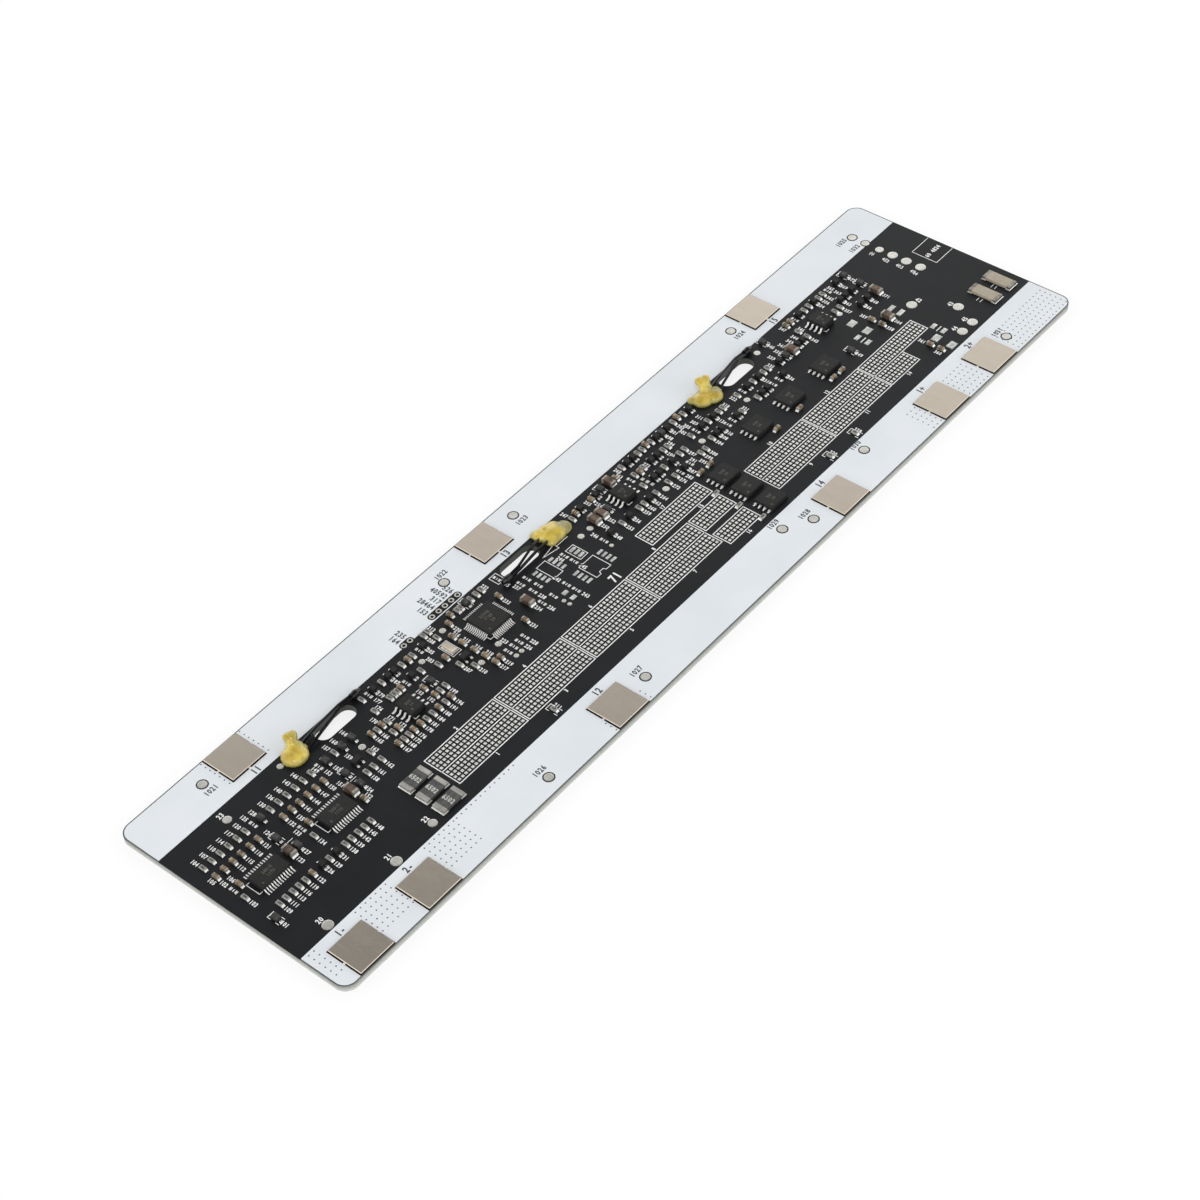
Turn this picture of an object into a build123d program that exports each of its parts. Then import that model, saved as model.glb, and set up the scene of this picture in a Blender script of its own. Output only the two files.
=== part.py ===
from build123d import *
import os

# Battery management board, millimetres, Z up.
# Origin: middle of the board's plan, on its underside. X runs along the board, away from the
# negative end. Y runs across it, from the near white band to the far one.
# Heights above the board are worked out from its top face, named TOP.

# Board
BOARD_LENGTH = 248.0
BOARD_WIDTH = 63.6
BOARD_THICKNESS = 1.6
BOARD_CORNER = 3.0
TOP = BOARD_THICKNESS

# White printed bands along both long edges
NEAR_BAND = 12.25
FAR_BAND = 11.95
PRINT_MARGIN = 0.3
PRINT_THICKNESS = 0.05

# Square weld tabs, one over each cell terminal that the board taps
FIRST_CELL = 9.18
CELL_PITCH = 19.18
TAB_LENGTH = 9.25
TAB_DEPTH = 8.85
TAB_THICKNESS = 0.5
TAB_CHAMFER = 0.12
TAB_SETBACK = 0.4
TAB_GAP = 0.25

# Slots that free the thermistors from the board's heat
SLOT_LENGTH = 10.9
SLOT_WIDTH = 4.3
SLOT_ROW = 48.75
SLOT_STATIONS = (47.65, 105.5, 181.75)

# Drilled programming holes in two rows, each row in one window of the far band's print.
# A row is told by its distance into that band.
HOLE_BORE = 0.75
HOLE_WINDOW = 2.0
HOLE_ROWS = ((0.35, (72.0, 73.9)), (1.25, (81.8, 83.9, 85.9, 87.9, 89.9)))

# Moulded chip cases and their bent leads
LEAD_THICKNESS = 0.15
SHOULDER = 0.2
CASE_DRAFT = 8
CASE_LIFT = 0.1

MONITOR_WIDTH = 4.4
MONITOR_HEIGHT = 1.1
MONITOR_PITCH = 0.65
MONITOR_LEADS = 12
MONITOR_SPAN = 6.4
MONITOR_LEAD_WIDTH = 0.24
MONITOR_ROW = 31.6
MONITOR_STATIONS = (11.225, 30.43)

CONTROLLER_PITCH = 0.5
CONTROLLER_LEADS = 12
CONTROLLER_END = 0.75
CONTROLLER_HEIGHT = 1.4
CONTROLLER_SPAN = 9.0
CONTROLLER_LEAD_WIDTH = 0.22
CONTROLLER_PLACE = (88.1, 42.2)

SMALL_CHIP_WIDTH = 3.9
SMALL_CHIP_PITCH = 1.27
SMALL_CHIP_LEADS = 4
SMALL_CHIP_END = 0.545
SMALL_CHIP_HEIGHT = 1.5
SMALL_CHIP_SPAN = 6.0
SMALL_CHIP_LEAD_WIDTH = 0.42
SMALL_CHIP_PLACES = ((59.9, 38.9), (134.5, 43.7), (207.1, 43.35))

# Flat power transistors, leads on the side that faces the negative end
POWER_LENGTH = 5.7
POWER_PITCH = 1.27
POWER_LEADS = 4
POWER_END = 0.6
POWER_HEIGHT = 1.0
POWER_LEAD_WIDTH = 0.5
POWER_LEAD_REACH = 0.5
POWER_LEAD_THICKNESS = 0.25
DRAIN_REACH = 0.25
POWER_PLACES = (
    (152.6, 29.45), (152.6, 23.0), (152.6, 16.4), (169.6, 33.2), (181.7, 33.2), (195.1, 33.2),
)

# Current-sense resistors and flat fuses, a middle between two wrapped terminals
SHUNT_LENGTH = 6.4
SHUNT_WIDTH = 3.2
SHUNT_HEIGHT = 0.7
SHUNT_TERMINAL = 1.1
SHUNT_PLACES = ((46.15, 24.75), (46.15, 20.2), (46.15, 15.7))

FUSE_LENGTH = 7.7
FUSE_WIDTH = 3.0
FUSE_HEIGHT = 0.7
FUSE_TERMINAL = 0.9
FUSE_ROW = 18.0
FUSE_STATIONS = (238.0, 243.9)

# Crystal can
CRYSTAL_LENGTH = 3.2
CRYSTAL_WIDTH = 1.5
CRYSTAL_HEIGHT = 0.8
CRYSTAL_CHAMFER = 0.2
CRYSTAL_PLACE = (77.15, 43.6)

# Chip resistors and capacitors
CHIP_LENGTH = 1.6
CHIP_WIDTH = 0.8
RESISTOR_HEIGHT = 0.45
CAPACITOR_HEIGHT = 0.8
LARGE_CAPACITOR_LENGTH = 3.0
LARGE_CAPACITOR_WIDTH = 1.6
LARGE_CAPACITOR_HEIGHT = 1.2

# Small transistors and diodes
SMALL_CASE_LENGTH = 1.3
SMALL_CASE_HEIGHT = 0.9
SMALL_CASE_WIDTH = 1.2
WIDE_CASE_WIDTH = 2.2
SMALL_LEAD_WIDTH = 0.3
SMALL_LEAD_REACH = 0.5
SMALL_LEAD_SPREAD = 0.35
WIDE_LEAD_SPREAD = 0.75
DIODE_LENGTH = 1.7
DIODE_WIDTH = 1.2
DIODE_HEIGHT = 0.85
DIODE_REACH = 0.4

# Thermistor beads and their lead pairs
BEAD_RADIUS = 0.9
BEAD_NECK = 0.75
BEAD_LENGTH = 2.6
BEAD_SHOULDER = 1.4
BEAD_TIP = 0.5
LEAD_RADIUS = 0.35
LEAD_HALF_GAP = 0.38
LEAD_SPREAD = 1.1
LEAD_BEND = 1.5
LEAD_CREST = 1.2
LEAD_RISE_SHARE = 0.35
LEAD_FALL_SHARE = 0.8

# Adhesive lumps, two of them drawn out to a peak
ADHESIVE_WIDTH = 5.6
ADHESIVE_HEIGHT = 1.9
ADHESIVE_DRAFT = 32
ADHESIVE_CHAMFER = 0.6
PEAK_FOOT = 1.25
PEAK_TIP = 1.0
PEAK_HEIGHT = 3.4
PEAK_LEAN = 1.6
PEAK_SIDES = 8

# Rows of chip parts: the row, then the stations along the board
RESISTOR_ROWS = (
    (43.1, (4.25, 6.6, 8.9, 11.2, 13.6, 15.9, 22.9, 25.3, 27.6, 30.0, 32.3, 34.7, 41.5)),
    (31.25, (4.2, 23.4)),
    (24.7, (7.2, 9.0, 10.9, 12.6, 14.4, 21.1, 25.6, 27.4, 29.3, 31.1, 33.0)),
    (34.1, (41.7, 43.7, 46.1, 52.8, 54.3, 59.6, 61.5, 65.4)),
    (37.2, (46.1, 52.8, 67.1, 68.8)),
    (40.2, (51.2, 54.2)),
    (44.2, (54.7, 59.3, 60.5, 61.5, 68.8)),
    (48.6, (55.4, 61.4, 67.6, 70.9)),
    (47.9, (77.8, 122.1)),
    (50.6, (76.5, 77.9)),
    (42.4, (72.3,)),
    (38.8, (75.0,)),
    (36.0, (76.7,)),
    (49.7, (86.3, 87.3, 90.4, 92.3, 93.9, 141.2, 146.9, 148.5, 151.6, 159.6, 163.2)),
    (45.7, (141.0, 144.0, 151.1, 152.7, 201.4)),
    (42.0, (139.5, 146.9, 152.4, 154.2)),
    (38.2, (127.6, 133.5, 135.2, 139.4, 143.7, 146.2, 155.4, 157.1)),
    (43.6, (158.5, 164.6, 168.6, 170.1, 175.4, 181.3, 185.2, 186.9)),
    (39.3, (160.6, 171.8, 177.6)),
    (43.0, (201.3, 212.3, 214.3)),
    (49.2, (208.4, 210.3, 214.0, 215.7)),
    (14.7, (77.2,)),
    (14.3, (171.5, 180.8)),
)
LYING_RESISTORS = ((147.1, 27.4), (147.1, 20.9), (147.2, 14.5))
CAPACITOR_ROWS = (
    (39.4, (4.3, 6.6, 9.0, 11.3, 13.7, 16.0, 23.1, 25.5, 27.7, 30.1, 32.4, 34.7)),
    (34.4, (5.8, 25.2)),
    (29.7, (36.3,)),
    (24.7, (16.4,)),
    (40.3, (49.6, 52.8, 65.5)),
    (44.2, (62.7,)),
    (37.1, (54.3, 65.5)),
    (34.1, (51.2, 55.8, 57.9, 63.4, 67.2)),
    (48.4, (69.4, 82.3, 123.9, 129.3, 137.6)),
    (50.0, (84.4, 150.1, 161.4)),
    (42.4, (74.6, 79.9)),
    (45.3, (79.9, 94.7, 142.5)),
    (39.0, (79.9,)),
    (36.0, (80.0, 92.8)),
    (33.1, (80.0, 81.6)),
    (49.2, (201.4, 203.0)),
    (34.2, (214.9,)),
    (31.2, (214.9,)),
    (18.0, (215.5,)),
    (15.0, (215.5,)),
)
LYING_CAPACITORS = (
    (150.3, 34.2), (153.6, 34.2), (171.6, 29.2), (180.1, 29.2), (193.0, 29.2), (196.2, 29.2),
)
LARGE_CAPACITORS = (
    (17.5, 32.2), (36.3, 33.3), (97.2, 39.2), (135.8, 48.7), (124.7, 43.6), (127.0, 43.6),
    (195.3, 42.8), (217.9, 31.8), (224.0, 39.6),
)
TRANSISTOR_ROWS = (
    (24.8, (19.1, 23.2)),
    (48.6, (58.9, 63.5, 65.2, 74.2, 125.6, 130.9)),
    (44.7, (66.6,)),
    (38.3, (123.9, 130.3, 137.2, 149.7)),
    (49.6, (143.2, 145.2, 153.5, 157.3, 165.3)),
    (45.7, (146.9, 149.0)),
    (41.7, (143.0, 144.8, 149.5)),
    (43.6, (162.5, 166.6, 179.2, 183.4)),
    (39.4, (162.6, 164.4, 170.0, 179.5, 181.4, 187.4)),
    (43.0, (190.5, 197.6, 199.4)),
    (49.2, (206.3, 212.2, 221.0)),
    (44.5, (216.5, 218.4, 221.0)),
    (39.8, (218.2, 220.8)),
)
WIDE_TRANSISTORS = ((42.6, 37.9), (77.2, 39.4))
DIODES = (
    (20.2, 43.0), (38.9, 43.0), (18.4, 36.8), (38.9, 37.4), (4.3, 22.9), (19.7, 32.1), (38.8, 33.1),
    (43.7, 43.0), (46.6, 43.0), (89.0, 49.7), (67.9, 40.6), (133.0, 49.0), (129.1, 43.7),
    (155.3, 49.6), (193.6, 50.1), (193.0, 42.9), (224.3, 49.3), (224.3, 44.4), (203.2, 31.7),
)

# Thermistor runs: adhesive middle, its length, how far along it the peak stands (0 where it has
# none), then the bead's neck and which way the bead points
THERMISTORS = (
    ((36.8, 48.8), 7.0, 1.1, (54.2, 50.3), 1),
    ((116.6, 48.6), 8.3, 0, (100.3, 46.7), -1),
    ((170.9, 48.4), 8.3, 2.4, (187.3, 50.6), 1),
)

STANDING = (Align.CENTER, Align.CENTER, Align.MIN)


def along(station):
    """X of a station, in plan units of which 248 make the board's length."""
    return (station / 248 - 0.5) * BOARD_LENGTH


def across(row):
    """Y of a row of the black middle field, whose plan runs from 12.25 to 51.65."""
    share = (row - 12.25) / (51.65 - 12.25)
    middle_field = BOARD_WIDTH - NEAR_BAND - FAR_BAND
    return NEAR_BAND + share * middle_field - BOARD_WIDTH / 2


def cell(number):
    """X of the weld tabs over a cell, counted from the negative end."""
    return along(FIRST_CELL + number * CELL_PITCH)


def block(place, length, width, height, base=TOP):
    """Upright block on the plane z = base, its middle at place; length runs along X."""
    x, y = place
    return (Pos(x, y, base) * Box(length, width, height, align=STANDING)).solid()


def export_node(name, solids):
    """Write one node: a single solid, or a group of like solids."""
    shape = solids[0] if len(solids) == 1 else Compound(solids)
    export_step(shape, f"parts/{name}.step")


# Board, its print and its weld tabs
def into_far_band(depth):
    """Y at a distance past the far band's inner edge."""
    return BOARD_WIDTH / 2 - FAR_BAND + depth


def hole_window(depth, stations):
    """Rounded window in the print round one row of programming holes."""
    first, last = along(stations[0]), along(stations[-1])
    window = SlotOverall(last - first + HOLE_WINDOW, HOLE_WINDOW)
    return Pos((first + last) / 2, into_far_band(depth)) * window


def build_board():
    """Laminate with rounded corners, three slots and the drilled programming holes."""
    outline = RectangleRounded(BOARD_LENGTH, BOARD_WIDTH, BOARD_CORNER)
    for station in SLOT_STATIONS:
        outline -= Pos(along(station), across(SLOT_ROW)) * SlotOverall(SLOT_LENGTH, SLOT_WIDTH)
    for station, depth in row_places(HOLE_ROWS):
        outline -= Pos(along(station), into_far_band(depth)) * Circle(HOLE_BORE / 2)
    return extrude(outline, BOARD_THICKNESS).solid()


def tab_centre(number, side):
    """Middle of a weld tab; side is -1 on the near edge and 1 on the far edge."""
    return cell(number), side * (BOARD_WIDTH / 2 - TAB_SETBACK - TAB_DEPTH / 2)


def build_tab(number, side):
    """Square nickel tab with a broken upper edge, its foot on the board."""
    x, y = tab_centre(number, side)
    plate = Pos(x, y, TOP) * Box(TAB_LENGTH, TAB_DEPTH, TAB_THICKNESS, align=STANDING)
    return chamfer(plate.faces().sort_by(Axis.Z)[-1].edges(), TAB_CHAMFER).solid()


def build_band(side, width, tabs):
    """White print inside the board's edge, left open around each weld tab."""
    inner = BOARD_WIDTH / 2 - width
    outline = RectangleRounded(
        BOARD_LENGTH - 2 * PRINT_MARGIN, BOARD_WIDTH - 2 * PRINT_MARGIN, BOARD_CORNER - PRINT_MARGIN
    )
    strip = Pos(0, side * (inner + width / 2)) * Rectangle(BOARD_LENGTH, width)
    band = outline & strip
    window_depth = TAB_SETBACK + TAB_DEPTH + TAB_GAP
    for number in tabs:
        middle = side * (BOARD_WIDTH / 2 - window_depth / 2)
        band -= Pos(cell(number), middle) * Rectangle(TAB_LENGTH + 2 * TAB_GAP, window_depth)
    if side > 0:
        for depth, stations in HOLE_ROWS:
            band -= hole_window(depth, stations)
    return (Pos(0, 0, TOP) * extrude(band, PRINT_THICKNESS)).solids()


# Moulded chips with bent leads
def gull_wing(reach, foot, seam, width):
    """Bent lead pointing along X: root against the case at x = 0, foot on the board."""
    low = TOP
    high = TOP + seam
    step = LEAD_THICKNESS
    with BuildSketch(Plane.XZ) as side_view:
        with BuildLine():
            Polyline(
                (0, high - step), (SHOULDER, high - step), (reach - foot, low), (reach, low),
                (reach, low + step), (reach - foot + step / 2, low + step),
                (SHOULDER + step / 2, high), (0, high), close=True,
            )
        make_face()
    return extrude(side_view.sketch, width / 2, both=True).solid()


def lead_row(lead, count, pitch, offset, turn):
    """Leads side by side along one edge of a case; turn says which edge."""
    first = -(count - 1) * pitch / 2
    return [Rot(0, 0, turn) * Pos(offset, first + i * pitch, 0) * lead for i in range(count)]


def moulded_case(length, width, height, seam):
    """Case with upright sides up to the leads' upper faces and drawn-in sides above them."""
    lower = Pos(0, 0, TOP + CASE_LIFT) * Box(length, width, seam - CASE_LIFT, align=STANDING)
    upper = extrude(Rectangle(length, width), height - seam, taper=CASE_DRAFT)
    return (lower + Pos(0, 0, TOP + seam) * upper).solid()


def place_all(solids, places):
    """Copies of the solids at every place, in the plan's stations and rows."""
    return [Pos(along(x), across(y), 0) * solid for x, y in places for solid in solids]


def build_monitor(station):
    """24-lead cell monitor: the case and two rows of leads across the board."""
    length = MONITOR_LEADS * MONITOR_PITCH
    seam = MONITOR_HEIGHT / 2
    reach = (MONITOR_SPAN - MONITOR_WIDTH) / 2
    lead = gull_wing(reach, reach / 2, seam, MONITOR_LEAD_WIDTH)
    leads = []
    for turn in (90, 270):
        leads += lead_row(lead, MONITOR_LEADS, MONITOR_PITCH, MONITOR_WIDTH / 2, turn)
    case = moulded_case(length, MONITOR_WIDTH, MONITOR_HEIGHT, seam)
    place = [(station, MONITOR_ROW)]
    return place_all([case], place), place_all(leads, place)


def build_controller():
    """Square controller: the case and twelve leads on each of its four sides."""
    side = (CONTROLLER_LEADS - 1) * CONTROLLER_PITCH + 2 * CONTROLLER_END
    seam = CONTROLLER_HEIGHT / 2
    reach = (CONTROLLER_SPAN - side) / 2
    lead = gull_wing(reach, reach / 2, seam, CONTROLLER_LEAD_WIDTH)
    leads = []
    for turn in (0, 90, 180, 270):
        leads += lead_row(lead, CONTROLLER_LEADS, CONTROLLER_PITCH, side / 2, turn)
    case = moulded_case(side, side, CONTROLLER_HEIGHT, seam)
    return place_all([case], [CONTROLLER_PLACE]), place_all(leads, [CONTROLLER_PLACE])


def build_small_chips():
    """Three 8-lead chips with their leads toward the board's ends."""
    length = (SMALL_CHIP_LEADS - 1) * SMALL_CHIP_PITCH + 2 * SMALL_CHIP_END
    seam = SMALL_CHIP_HEIGHT / 2
    reach = (SMALL_CHIP_SPAN - SMALL_CHIP_WIDTH) / 2
    lead = gull_wing(reach, reach / 2, seam, SMALL_CHIP_LEAD_WIDTH)
    leads = []
    for turn in (0, 180):
        leads += lead_row(lead, SMALL_CHIP_LEADS, SMALL_CHIP_PITCH, SMALL_CHIP_WIDTH / 2, turn)
    case = moulded_case(SMALL_CHIP_WIDTH, length, SMALL_CHIP_HEIGHT, seam)
    return place_all([case], SMALL_CHIP_PLACES), place_all(leads, SMALL_CHIP_PLACES)


def build_power_transistors():
    """Six flat cases, four lugs on one side and the drain plate's edge on the other."""
    width = (POWER_LEADS - 1) * POWER_PITCH + 2 * POWER_END
    lower = Pos(0, 0, TOP) * Box(POWER_LENGTH, width, POWER_LEAD_THICKNESS, align=STANDING)
    upper = extrude(Rectangle(POWER_LENGTH, width), POWER_HEIGHT - POWER_LEAD_THICKNESS, taper=CASE_DRAFT)
    case = (lower + Pos(0, 0, TOP + POWER_LEAD_THICKNESS) * upper).solid()
    leads = []
    for i in range(POWER_LEADS):
        y = (i - (POWER_LEADS - 1) / 2) * POWER_PITCH
        x = -(POWER_LENGTH + POWER_LEAD_REACH) / 2
        leads.append(block((x, y), POWER_LEAD_REACH, POWER_LEAD_WIDTH, POWER_LEAD_THICKNESS))
    x = (POWER_LENGTH + DRAIN_REACH) / 2
    leads.append(block((x, 0), DRAIN_REACH, width - POWER_END, POWER_LEAD_THICKNESS))
    return place_all([case], POWER_PLACES), place_all(leads, POWER_PLACES)


# Parts with two wrapped terminals
def wrapped_part(length, width, height, terminal, turn=0):
    """Middle block and its two end terminals; turn is 90 for a part that lies across."""
    middle = block((0, 0), length - 2 * terminal, width, height)
    offset = (length - terminal) / 2
    ends = [block((side * offset, 0), terminal, width, height) for side in (-1, 1)]
    return Rot(0, 0, turn) * middle, [Rot(0, 0, turn) * end for end in ends]


def build_shunts():
    """Three current-sense resistors side by side."""
    middle, ends = wrapped_part(SHUNT_LENGTH, SHUNT_WIDTH, SHUNT_HEIGHT, SHUNT_TERMINAL)
    return place_all([middle], SHUNT_PLACES), place_all(ends, SHUNT_PLACES)


def build_fuses():
    """Two flat ceramic fuses that lie across the board near its positive end."""
    middle, ends = wrapped_part(FUSE_LENGTH, FUSE_WIDTH, FUSE_HEIGHT, FUSE_TERMINAL, turn=90)
    places = [(station, FUSE_ROW) for station in FUSE_STATIONS]
    return place_all([middle], places), place_all(ends, places)


def build_crystal():
    """Metal can with a broken edge round its lid."""
    can = block((0, 0), CRYSTAL_WIDTH, CRYSTAL_LENGTH, CRYSTAL_HEIGHT)
    can = chamfer(can.faces().sort_by(Axis.Z)[-1].edges(), CRYSTAL_CHAMFER).solid()
    return place_all([can], [CRYSTAL_PLACE])


# Chip parts and small cases
def row_places(rows):
    """Flatten rows into places."""
    return [(station, row) for row, stations in rows for station in stations]


def build_chips(upright, lying, height):
    """Chip parts whose length runs across the board, then those along it."""
    across_chip = block((0, 0), CHIP_WIDTH, CHIP_LENGTH, height)
    along_chip = block((0, 0), CHIP_LENGTH, CHIP_WIDTH, height)
    return place_all([across_chip], row_places(upright)) + place_all([along_chip], lying)


def build_large_capacitors():
    """Large chip capacitors, all across the board."""
    chip = block((0, 0), LARGE_CAPACITOR_WIDTH, LARGE_CAPACITOR_LENGTH, LARGE_CAPACITOR_HEIGHT)
    return place_all([chip], LARGE_CAPACITORS)


def transistor(width, spread):
    """Three-lead case: two leads on the near side, one on the far side."""
    case = block((0, 0), width, SMALL_CASE_LENGTH, SMALL_CASE_HEIGHT)
    y = (SMALL_CASE_LENGTH + SMALL_LEAD_REACH) / 2
    feet = ((-spread, -y), (spread, -y), (0, y))
    leads = [block(foot, SMALL_LEAD_WIDTH, SMALL_LEAD_REACH, LEAD_THICKNESS) for foot in feet]
    return case, leads


def build_transistors():
    """Every three-lead case, narrow ones in rows and two wide ones."""
    narrow, narrow_leads = transistor(SMALL_CASE_WIDTH, SMALL_LEAD_SPREAD)
    wide, wide_leads = transistor(WIDE_CASE_WIDTH, WIDE_LEAD_SPREAD)
    places = row_places(TRANSISTOR_ROWS)
    cases = place_all([narrow], places) + place_all([wide], WIDE_TRANSISTORS)
    leads = place_all(narrow_leads, places) + place_all(wide_leads, WIDE_TRANSISTORS)
    return cases, leads


def build_diodes():
    """Two-lead cases across the board."""
    case = block((0, 0), DIODE_WIDTH, DIODE_LENGTH, DIODE_HEIGHT)
    y = (DIODE_LENGTH + DIODE_REACH) / 2
    leads = [block((0, side * y), SMALL_LEAD_WIDTH, DIODE_REACH, LEAD_THICKNESS) for side in (-1, 1)]
    return place_all([case], DIODES), place_all(leads, DIODES)


# Thermistors: bead, lead pair and the adhesive over the leads' joints
def lead_path(glue, neck, direction, side):
    """Route of one lead: along the board in the adhesive, over the slot, into the bead's neck."""
    start_x = along(glue[0]) + direction * PEAK_FOOT
    start_y = across(glue[1]) + side * LEAD_SPREAD
    end_x = along(neck[0])
    end_y = across(neck[1]) + side * LEAD_HALF_GAP
    run = end_x - start_x
    rise_x = start_x + LEAD_RISE_SHARE * run
    rise_y = start_y + LEAD_RISE_SHARE * (end_y - start_y)
    fall_x = start_x + LEAD_FALL_SHARE * run
    return [
        (start_x, start_y, TOP + LEAD_RADIUS),
        (rise_x, rise_y, TOP + LEAD_CREST),
        (fall_x, end_y, TOP + LEAD_CREST),
        (end_x, end_y, TOP + BEAD_RADIUS),
    ]


def build_lead(glue, neck, direction, side):
    """Thin wire along straight runs joined by arcs, six-sided to keep its facets few."""
    path = FilletPolyline(*lead_path(glue, neck, direction, side), radius=LEAD_BEND)
    section = Plane(origin=path @ 0, z_dir=path % 0) * RegularPolygon(LEAD_RADIUS, 6)
    return sweep(section, path).solid()


def build_bead(neck, direction):
    """Epoxy drop with a narrow neck and a blunt nose, lying on the board."""
    with BuildSketch(Plane.XZ) as half:
        with BuildLine():
            Polyline(
                (0, 0), (0, BEAD_NECK), (BEAD_SHOULDER, BEAD_RADIUS), (BEAD_LENGTH, BEAD_TIP),
                (BEAD_LENGTH, 0), close=True,
            )
        make_face()
    drop = revolve(half.sketch, Axis.X)
    turn = 0 if direction > 0 else 180
    return (Pos(along(neck[0]), across(neck[1]), TOP + BEAD_RADIUS) * Rot(0, 0, turn) * drop).solid()


def build_peak(station):
    """Thread of adhesive that leaned toward the far edge as it was drawn off the lump."""
    row = ADHESIVE_WIDTH / 2 - PEAK_FOOT
    foot = Pos(station, row, 0) * RegularPolygon(PEAK_FOOT, PEAK_SIDES)
    tip = Pos(station + PEAK_LEAN, row + PEAK_LEAN, PEAK_HEIGHT) * RegularPolygon(PEAK_TIP, PEAK_SIDES)
    return loft([foot.face(), tip.face()], ruled=True)


def build_adhesive(glue, length, peak_station, leads):
    """Cured lump over the leads' joints."""
    lump = extrude(SlotOverall(length, ADHESIVE_WIDTH), ADHESIVE_HEIGHT, taper=ADHESIVE_DRAFT)
    lump = chamfer(lump.edges().sort_by(Axis.Z)[-1], ADHESIVE_CHAMFER)
    if peak_station:
        lump += build_peak(peak_station)
    whole = Pos(along(glue[0]), across(glue[1]), TOP) * lump
    for lead in leads:
        whole -= lead
    return whole.solid()


def export_thermistors():
    """Three thermistors, each with its bead, its two leads and its adhesive."""
    for number, (glue, length, peak_station, neck, direction) in enumerate(THERMISTORS, start=1):
        leads = [build_lead(glue, neck, direction, side) for side in (-1, 1)]
        export_node(f"thermistor_{number}_leads", leads)
        export_node(f"thermistor_{number}_bead", [build_bead(neck, direction)])
        export_node(f"adhesive_{number}", [build_adhesive(glue, length, peak_station, leads)])


def export_pair(case_name, lead_name, pair):
    """Write a chip's case and its leads as two nodes."""
    export_node(case_name, pair[0])
    export_node(lead_name, pair[1])


# Cells that carry a weld tab, by edge
NEAR_TABS = (("tab_negative_1", 0), ("tab_negative_2", 1), ("tab_cell_2", 4), ("tab_cell_4", 8),
             ("tab_positive_1", 10), ("tab_positive_2", 11))
FAR_TABS = (("tab_cell_1", 1), ("tab_cell_3", 5), ("tab_cell_5", 10))

os.makedirs("parts", exist_ok=True)
export_node("board", [build_board()])
export_node("white_band_near", build_band(-1, NEAR_BAND, [number for _, number in NEAR_TABS]))
export_node("white_band_far", build_band(1, FAR_BAND, [number for _, number in FAR_TABS]))
for tab_name, tab_number in NEAR_TABS:
    export_node(tab_name, [build_tab(tab_number, -1)])
for tab_name, tab_number in FAR_TABS:
    export_node(tab_name, [build_tab(tab_number, 1)])
for chip_number, chip_station in enumerate(MONITOR_STATIONS, start=1):
    export_pair(f"monitor_{chip_number}_body", f"monitor_{chip_number}_leads", build_monitor(chip_station))
export_pair("controller_body", "controller_leads", build_controller())
export_pair("small_chip_bodies", "small_chip_leads", build_small_chips())
export_pair("power_transistor_bodies", "power_transistor_leads", build_power_transistors())
export_pair("shunt_bodies", "shunt_terminals", build_shunts())
export_pair("fuse_bodies", "fuse_terminals", build_fuses())
export_node("crystal", build_crystal())
export_node("resistors", build_chips(RESISTOR_ROWS, LYING_RESISTORS, RESISTOR_HEIGHT))
export_node("capacitors", build_chips(CAPACITOR_ROWS, LYING_CAPACITORS, CAPACITOR_HEIGHT))
export_node("large_capacitors", build_large_capacitors())
export_pair("transistor_bodies", "transistor_leads", build_transistors())
export_pair("diode_bodies", "diode_leads", build_diodes())
export_thermistors()
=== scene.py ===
"""Battery management board, dressed for rendering.

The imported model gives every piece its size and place. This script adds solder, print, labels,
chip terminals and the cured adhesive, and gives each piece its finish.
"""

import logging
import math
from collections.abc import Callable, Iterable
from dataclasses import dataclass, field
from enum import Enum

import bmesh
import bpy
from mathutils import Matrix, Vector


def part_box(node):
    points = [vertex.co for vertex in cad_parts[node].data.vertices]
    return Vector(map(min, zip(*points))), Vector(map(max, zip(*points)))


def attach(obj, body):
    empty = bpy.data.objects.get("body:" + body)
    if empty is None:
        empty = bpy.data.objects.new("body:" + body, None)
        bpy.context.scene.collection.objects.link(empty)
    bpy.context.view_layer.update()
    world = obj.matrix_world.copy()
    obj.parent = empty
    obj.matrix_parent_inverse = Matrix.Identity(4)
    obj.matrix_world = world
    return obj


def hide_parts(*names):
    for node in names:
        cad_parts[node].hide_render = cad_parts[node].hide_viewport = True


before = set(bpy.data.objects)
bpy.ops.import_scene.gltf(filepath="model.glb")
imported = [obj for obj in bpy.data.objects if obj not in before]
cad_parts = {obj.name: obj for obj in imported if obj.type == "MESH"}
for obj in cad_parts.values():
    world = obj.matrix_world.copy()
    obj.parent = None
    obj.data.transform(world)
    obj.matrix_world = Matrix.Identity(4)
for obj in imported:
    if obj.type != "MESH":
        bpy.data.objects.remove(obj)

MM = 0.001
BODY = "root"
LOG = logging.getLogger("board")

# Least upward share of the normal of a face that counts as level
LEVEL = 0.9
# Distance within which two corners are one, in metres
WELD = 1e-6
# Thickness of print in metres, and width of a printed stroke in millimetres
INK = 0.02 * MM
PEN = 0.16

# A pair of numbers, a point or size in space, a colour with its alpha, and low and high corners in plan
Pair = tuple[float, float]
Triple = tuple[float, float, float]
Tone = tuple[float, float, float, float]
Area = tuple[float, float, float, float]


class Slot(Enum):
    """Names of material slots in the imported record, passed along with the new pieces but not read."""

    LAMINATE = "laminate"
    PRINT = "print"
    TIN = "tin"
    RESISTOR = "resistor_coat"
    ADHESIVE = "adhesive"


class Turn(Enum):
    """Ways a printed label can read, as an angle from +X in degrees."""

    ALONG = 0
    DOWN = -90


# Shader helpers


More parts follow.
